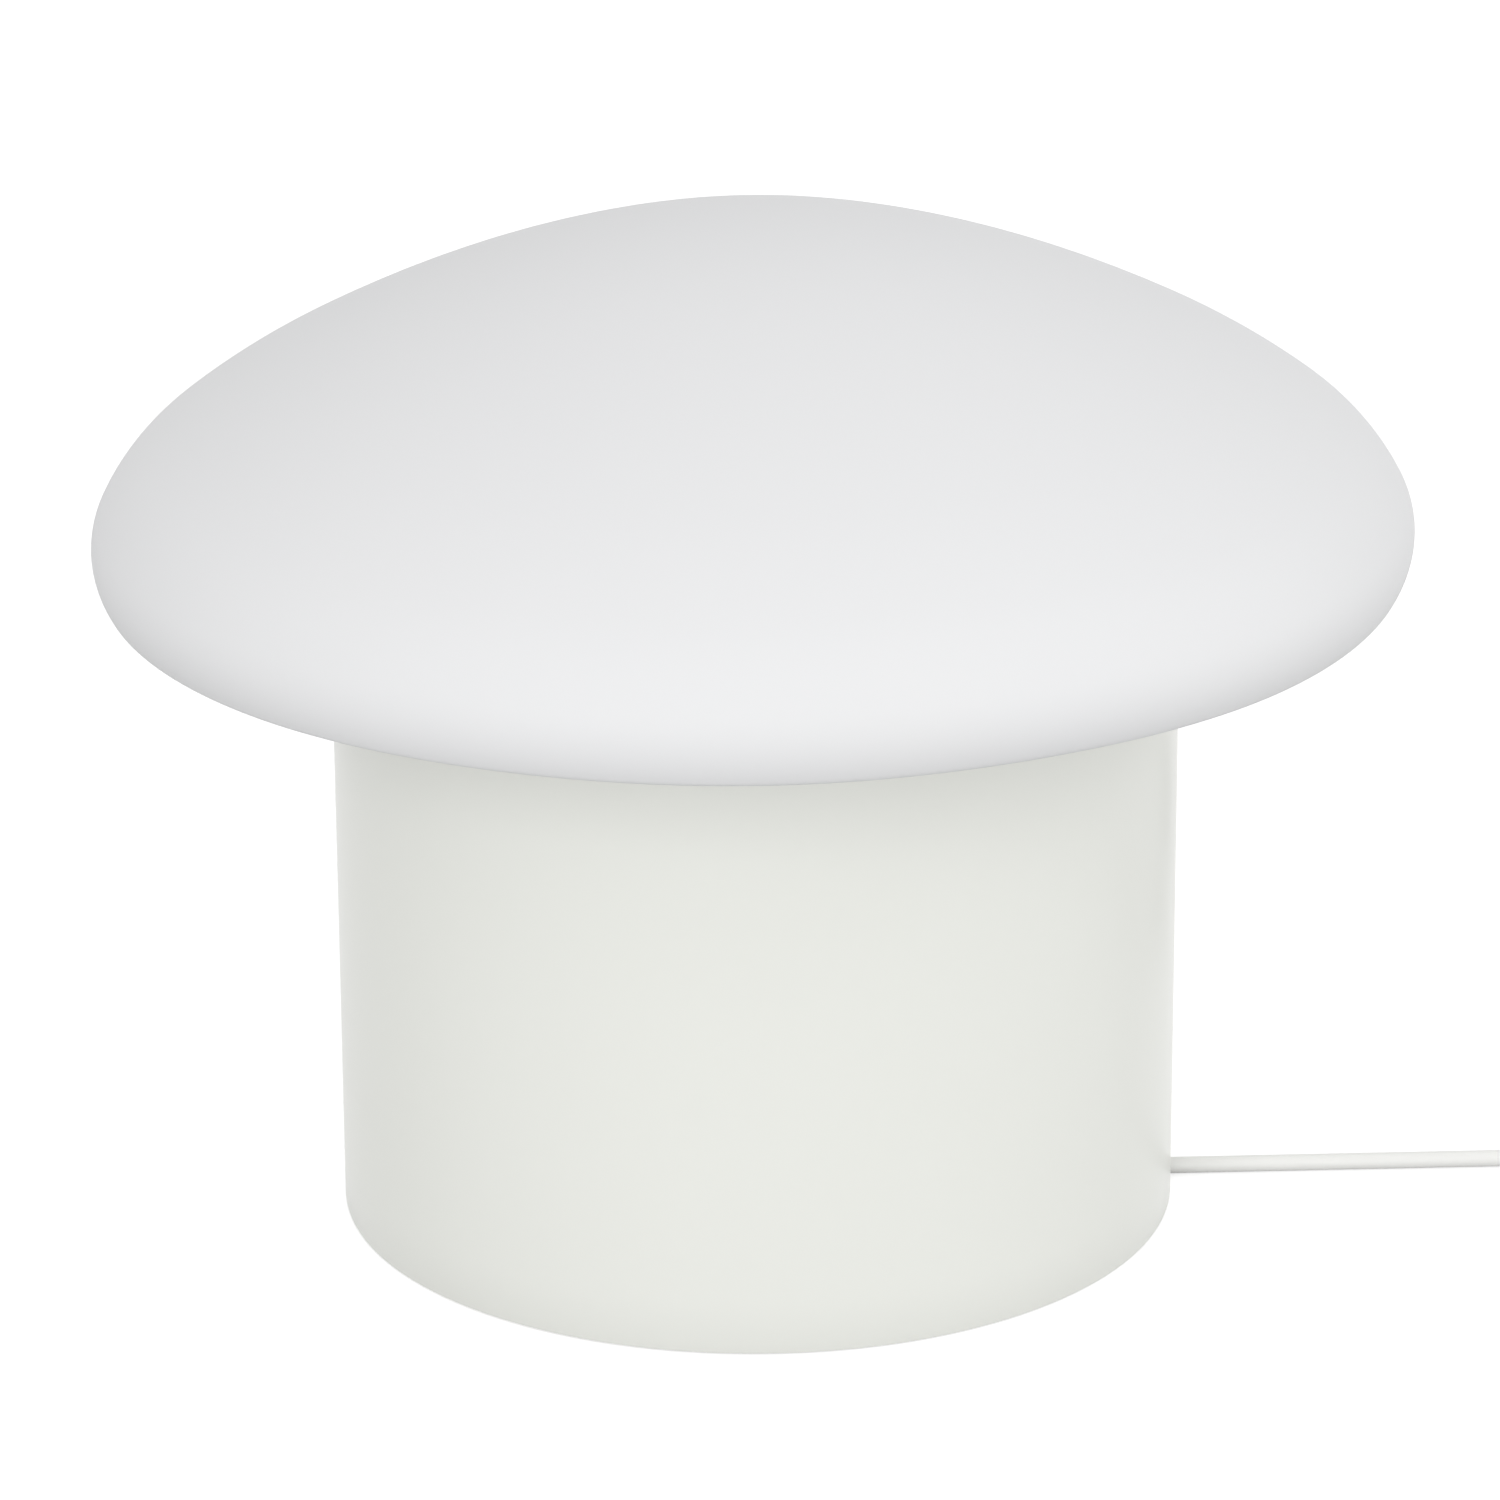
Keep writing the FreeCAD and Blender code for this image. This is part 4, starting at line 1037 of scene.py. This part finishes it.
def thread(radius: float, depth: float, pitch: float, low: float, high: float, parts: int = 10,
           below: float = 1.5, above: float = 0.5) -> Mesh:
    """Make a round screw thread between two heights.

    Args:
        radius: Over the crests.
        depth: From crest to root.
        pitch: The climb of one turn.
        low: Where it starts.
        high: Where it ends.
        parts: How many parts one turn's outline has.
        below: The turns that are drawn under its start and cut off.
        above: The same over its end.

    Returns:
        The open mesh of its surface.
    """
    height = low - below * pitch
    outline = Turning(radius, height)
    while height < high + above * pitch:
        height += pitch / parts
        swing = 0.5 - 0.5 * math.cos(math.tau * height / pitch)
        outline.reach(Vector((radius - depth * swing, 0.0, height)))
    return trimmed(outline.threaded(pitch), low, high)


def rolled(mesh: Mesh, gauge: float, low: float, high: float) -> Mesh:
    """Give an open surface the thickness of a sheet.

    Args:
        mesh: The surface.
        gauge: The thickness outwards, or inwards where it is negative.
        low: No vertex ends under this height.
        high: No vertex ends over this height.

    Returns:
        The same mesh, closed.
    """
    bmesh.ops.recalc_face_normals(mesh, faces=mesh.faces)
    bmesh.ops.solidify(mesh, geom=list(mesh.faces), thickness=-gauge)
    for vertex in mesh.verts:
        vertex.co.z = min(max(vertex.co.z, low), high)
    return tidied(mesh)


@dataclass
class Bulb(SubAssembly):
    """The bulb: its screw cap, insulator, tip, housing and globe."""

    thread_pitch: float = 0.0036286
    thread_depth: float = 0.0009
    foot_chamfer: float = 0.0015
    cap_gauge: float = 0.0004
    globe_radius: float = 0.030
    belly_normal: float = -35.0
    globe_wall: float = 0.0012
    collar_step: float = 0.002
    collar_height: float = 0.003
    collar_bend: float = 0.0012
    seam: float = 0.0003

    def build(self) -> None:
        """Build and place every piece."""
        self.seat(self.cap(), BULB_METAL, "bulb_cap")
        self.seat(self.housing(), HOUSING, "bulb_housing")
        self.seat(self.globe(), GLOBE, "bulb_globe")
        self.refine("bulb_insulator", INSULATION, 0.0002)
        self.refine("bulb_tip", BULB_METAL, 0.0003)

    def cap(self) -> Piece:
        """Make the rolled screw cap, closed at its foot and open above.

        Returns:
            The cap.
        """
        low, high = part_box("bulb_cap")
        shoulder = low.z + self.foot_chamfer
        mesh = thread(high.x, self.thread_depth, self.thread_pitch, shoulder, high.z)
        foot = carried(mesh, rim(mesh, shoulder), high.x - self.foot_chamfer, low.z)
        bmesh.ops.edgeloop_fill(mesh, edges=foot)
        return as_piece("bulb_screw_cap", rolled(mesh, -self.cap_gauge, low.z, high.z), 50.0)

    def housing(self) -> Piece:
        """Make the cone between cap and globe, with a rolled collar and a fine groove.

        Returns:
            The cone.
        """
        low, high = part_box("bulb_housing")
        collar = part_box("bulb_cap")[1].x + self.collar_step
        bend = self.collar_bend
        outline = Turning(0.0, low.z).to(collar - bend, low.z).bend(bend, -90.0, 0.0, 15.0)
        outline.to(collar, low.z + self.collar_height).to(high.x, high.z - self.seam, 12)
        outline.to(high.x - self.seam, high.z).to(0.0, high.z)
        return as_piece("bulb_body", outline.turned())

    def globe(self) -> Piece:
        """Make the opal globe, round above and conical below.

        Returns:
            The globe.
        """
        low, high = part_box("bulb_globe")
        belly = direction(self.belly_normal)
        belly_x = self.globe_radius * belly.x
        belly_z = high.z - self.globe_radius + self.globe_radius * belly.z
        joint_x = belly_x + (belly_z - low.z) * math.tan(math.radians(self.belly_normal))
        outline = Turning(joint_x - self.globe_wall, low.z).to(joint_x - self.seam, low.z)
        outline.to(joint_x, low.z + self.seam).to(belly_x, belly_z, 2)
        outline.bend(self.globe_radius, self.belly_normal, 90.0, 4.0).to(0.0, high.z - self.globe_wall)
        outline.bend(self.globe_radius - self.globe_wall, 90.0, self.belly_normal, 4.0)
        return as_piece("bulb_dome", outline.close().turned())


@dataclass
class Flex(SubAssembly):
    """The round flex, inside the lamp and outside it."""

    diameter: float = 0.0046
    core_diameter: float = 0.0019
    inside_route: Tuple[Point, ...] = (
        (0.1150, 0.0, 0.0023),
        (0.0950, 0.0, 0.0023),
        (0.0780, 0.0, 0.0174),
        (0.0560, 0.0, 0.0174),
        (0.0000, 0.0, 0.0174),
        (0.0000, 0.0, 0.1040),
    )
    lead_route: Tuple[Point, ...] = (
        (0.1150, 0.0000, 0.0023),
        (0.1905, 0.0000, 0.0023),
        (0.2260, 0.0000, 0.0023),
        (0.2520, 0.0240, 0.0023),
        (0.2550, 0.0660, 0.0023),
        (0.2530, 0.0970, 0.0065),
        (0.2530, 0.1145, 0.0065),
    )
    link_route: Tuple[Point, ...] = (
        (0.2530, 0.1715, 0.0065),
        (0.2530, 0.1870, 0.0065),
        (0.2530, 0.2100, 0.0023),
        (0.2530, 0.2260, 0.0023),
    )
    # the plug's end of the flex: X and Y from the coil's last point, and the height, or None for that point's
    tail_steps: Tuple[Tuple[float, float, Optional[float]], ...] = (
        (0.0, -0.0160, None),
        (-0.0010, -0.0540, 0.0023),
        (-0.0030, -0.0780, 0.0023),
        (-0.0020, -0.1040, 0.00685),
        (-0.0020, -0.1240, 0.00685),
    )
    coil_turns: Tuple[float, ...] = (1.75, 2.0, 2.0, 1.75)
    coil_radius: float = 0.0316
    coil_gap: float = 0.0006
    climb_turns: float = 0.5
    points_per_turn: int = 16
    lead_length: float = 0.232
    rest_length: float = 1.478

    def build(self) -> None:
        """Build and place every piece."""
        inside = self.tube("flex_in_lamp", self.inside_route, self.diameter)
        self.seat(inside, SHEATH, "flex_inside")
        self.refine("flex_cores", CORES, 0.0)
        lead = self.seat(self.tube("flex_to_switch", self.lead_route, self.diameter), SHEATH, "flex_lead")
        rest = self.tube("flex_to_plug", self.rest_route(), self.diameter)
        self.seat(rest, SHEATH, "flex_link", "flex_coil", "flex_tail")
        switch = [name for name in bpy.data.objects.keys() if name.startswith("switch_")]
        plug = [name for name in bpy.data.objects.keys() if name.startswith(("plug_", "pin_"))]
        shown(switch)
        shown(plug)

    def tube(self, name: str, route: Sequence[Point], diameter: float) -> Piece:
        """A round flex along a route.

        Args:
            name: The piece's name.
            route: The control points of its line.
            diameter: Its diameter.

        Returns:
            The piece, a curve with one open spline.
        """
        curve = bpy.data.curves.new(name, "CURVE")
        curve.dimensions = "3D"
        curve.bevel_depth = diameter / 2
        curve.bevel_resolution = 10
        curve.resolution_u = 10
        curve.use_fill_caps = True
        spline = curve.splines.new("NURBS")
        spline.points.add(len(route) - 1)
        for point, place in zip(spline.points, route):
            point.co = (*place, 1.0)
        spline.order_u = 3
        spline.use_endpoint_u = True
        piece = bpy.data.objects.new(name, curve)
        bpy.context.scene.collection.objects.link(piece)
        return piece

    def rest_route(self) -> List[Point]:
        """List the control points from the switch through the coil to the plug.

        Returns:
            The points.
        """
        coil = self.coil_route()
        start = Vector(coil[-1])
        tail = [(start.x + x, start.y + y, start.z if height is None else height)
                for x, y, height in self.tail_steps]
        return [*self.link_route, *coil, *tail]

    def coil_route(self) -> List[Point]:
        """List the control points of the coil, layers that spiral in and out on one another.

        Returns:
            The points.
        """
        pitch = self.diameter + self.coil_gap
        total = sum(self.coil_turns)
        ends = [sum(self.coil_turns[:layer + 1]) for layer in range(len(self.coil_turns) - 1)]
        lead_in = Vector(self.link_route[-1]) + Vector((0.0, self.diameter, 0.0))
        centre = Vector((lead_in.x + self.coil_radius, lead_in.y, 0.0))
        bulge = 1.0 / math.cos(math.pi / self.points_per_turn)
        route = []
        for step in range(1, int(total * self.points_per_turn)):
            turn = step / self.points_per_turn
            radius, way, done = self.coil_radius, -1.0, 0.0
            for turns in self.coil_turns:
                radius += way * pitch * min(max(turn - done, 0.0), turns)
                way, done = -way, done + turns
            climb = sum(min(max((turn - end) / self.climb_turns + 0.5, 0.0), 1.0) for end in ends)
            angle = math.pi - math.tau * turn
            out = Vector((math.cos(angle), math.sin(angle), 0.0)) * radius * bulge
            route.append(tuple(centre + out + UP * (self.diameter / 2 + pitch * climb)))
        angle = math.pi - math.tau * total
        last = centre + Vector((math.cos(angle), math.sin(angle), 0.0)) * self.coil_radius
        height = self.diameter / 2 + pitch * len(ends)
        route.append((last.x, last.y, height))
        route.append((last.x, last.y - self.diameter, height))
        return route


def shown(names: Iterable[str]) -> List[Piece]:
    """The objects of these names that are shown."""
    found = (bpy.data.objects[name] for name in names)
    return [piece for piece in found if not piece.hide_render]


@dataclass
class CordEnds(SubAssembly):
    """The grip inside the lamp, the in-line switch and the plug."""

    def build(self) -> None:
        """Build and place every piece."""
        self.refine("cord_grip", BLACK_MOULDING, 0.0002)
        self.refine("grip_screws", ZINC)
        self.refine("switch_base", MOULDING, 0.0002)
        self.refine("switch_cover", MOULDING, 0.0002)
        self.refine("switch_rocker", MOULDING, 0.0003)
        self.refine("switch_screws", ZINC)
        self.refine("switch_contacts", BRASS, 0.0001)
        self.refine("plug_body", MOULDING, 0.0003)
        self.refine("plug_pins", PIN_METAL, 0.0)
        self.refine("pin_sleeves", BLACK_MOULDING, 0.0001)


# ---------------------------------------------------------------------------- studio
@dataclass(frozen=True)
class Softbox:
    """A rectangular lamp that faces the middle of the object."""

    name: str
    azimuth: float
    distance: float
    foot: float
    width: float
    height: float
    power: float

    def build(self, target: Vector) -> None:
        """Hang the lamp.

        Args:
            target: What it faces.
        """
        data = bpy.data.lights.new(self.name, "AREA")
        data.shape = "RECTANGLE"
        data.size, data.size_y = self.width, self.height
        data.energy = self.power
        lamp = bpy.data.objects.new(self.name, data)
        around = math.radians(self.azimuth)
        away = Vector((math.sin(around), -math.cos(around), 0.0)) * self.distance
        lamp.location = away + UP * (self.foot + self.height / 2)
        lamp.rotation_mode = "QUATERNION"
        lamp.rotation_quaternion = (target - lamp.location).to_track_quat("-Z", "Y")
        bpy.context.scene.collection.objects.link(lamp)


@dataclass
class Studio:
    """The floor, the light and the camera."""

    yaw: float = -2.3
    elevation: float = 19.957
    distance: float = 1.9213
    look_at: Point = (-0.0016, 0.0, 0.1282)
    roll: float = 0.2895
    focal_pixels: float = 7032.35
    picture_pixels: float = 1500.0
    sensor: float = 36.0
    floor_half: float = 6.0
    floor_tone: float = 0.50
    floor_lift: float = 0.65
    world_level: float = 0.777
    light_target: Point = (0.0, 0.0, 0.13)
    lamps: Tuple[Softbox, ...] = (
        Softbox("key", azimuth=8.0, distance=2.2, foot=0.05, width=1.6, height=0.9, power=4.55),
        Softbox("front_left", azimuth=-20.0, distance=2.2, foot=0.3, width=1.2, height=1.2, power=13.3),
        Softbox("right_box", azimuth=62.0, distance=1.8, foot=0.02, width=0.8, height=1.2, power=1.2),
        Softbox("right_side", azimuth=90.0, distance=1.8, foot=0.1, width=0.8, height=1.2, power=5.0),
    )

    def build(self) -> None:
        """Build the floor, the light and the camera."""
        bpy.context.scene.view_settings.view_transform = "Standard"
        self.floor()
        self.world()
        for lamp in self.lamps:
            lamp.build(Vector(self.light_target))
        self.camera()

    def camera(self) -> None:
        """The camera at the photograph's view."""
        data = bpy.data.cameras.new("camera")
        data.sensor_width = self.sensor
        data.lens = self.focal_pixels / self.picture_pixels * self.sensor
        data.clip_start, data.clip_end = 0.05, 50.0
        rise = math.radians(self.elevation)
        forward = Vector((0.0, math.cos(rise), -math.sin(rise)))
        right = Vector((1.0, 0.0, 0.0))
        top = right.cross(forward)
        tip = math.radians(self.roll)
        across = right * math.cos(tip) - top * math.sin(tip)
        upward = right * math.sin(tip) + top * math.cos(tip)
        stand = Vector(self.look_at) - forward * self.distance
        axes = Matrix((across, upward, -forward)).transposed().to_4x4()
        camera = bpy.data.objects.new("camera", data)
        turn = Matrix.Rotation(math.radians(self.yaw), 4, "Z")
        camera.matrix_world = turn @ Matrix.Translation(stand) @ axes
        bpy.context.scene.collection.objects.link(camera)
        bpy.context.scene.camera = camera

    def seen(self, graph: FinishGraph) -> Signal:
        """Tell the rays that show a thing from those that only light one.

        Args:
            graph: The graph that asks.

        Returns:
            1 for rays from the camera, in gloss or through glass, and otherwise 0.
        """
        path = graph.node("ShaderNodeLightPath", {}, {})
        rays = [Signal(graph, path.outputs[name]) for name in
                ("Is Camera Ray", "Is Glossy Ray", "Is Transmission Ray")]
        return (rays[0] + rays[1] + rays[2]).at_most(1.0)

    def floor(self) -> None:
        """A plain pale floor that is white where no shadow falls."""
        mesh = bmesh.new()
        bmesh.ops.create_grid(mesh, x_segments=1, y_segments=1, size=self.floor_half)
        floor = as_piece("floor", mesh)
        graph = FinishGraph("studio_floor")
        graph.dress(Base_Color=(self.floor_tone,) * 3)
        lift = {"Color": (1.0, 1.0, 1.0), "Strength": self.seen(graph) * self.floor_lift}
        glow = graph.node("ShaderNodeEmission", {}, lift)
        both = graph.node("ShaderNodeAddShader", {}, {0: graph.surface.outputs[0], 1: glow.outputs[0]})
        graph.feed(graph.output.inputs["Surface"], both.outputs[0])
        floor.data.materials.append(graph.material)

    def world(self) -> None:
        """White for the camera, and a softer white that lights the object."""
        world = bpy.data.worlds.new("studio")
        world.use_nodes = True
        bpy.context.scene.world = world
        graph = WorldGraph(world)
        level = self.world_level + self.seen(graph) * (1.0 - self.world_level)
        graph.feed(graph.surface.inputs["Strength"], level)
        graph.feed(graph.surface.inputs["Color"], (1.0, 1.0, 1.0))


# ---------------------------------------------------------------------------- the lamp
def main() -> None:
    """Build the lamp and the studio."""
    logging.basicConfig(level=logging.INFO, format="%(name)s: %(message)s")
    for part in (Drum(), Glass(), Lampholder(), Bulb(), CordEnds(), Flex()):
        LOG.info("building %s", type(part).__name__)
        part.build()
    Studio().build()


if __name__ == "__main__":
    main()
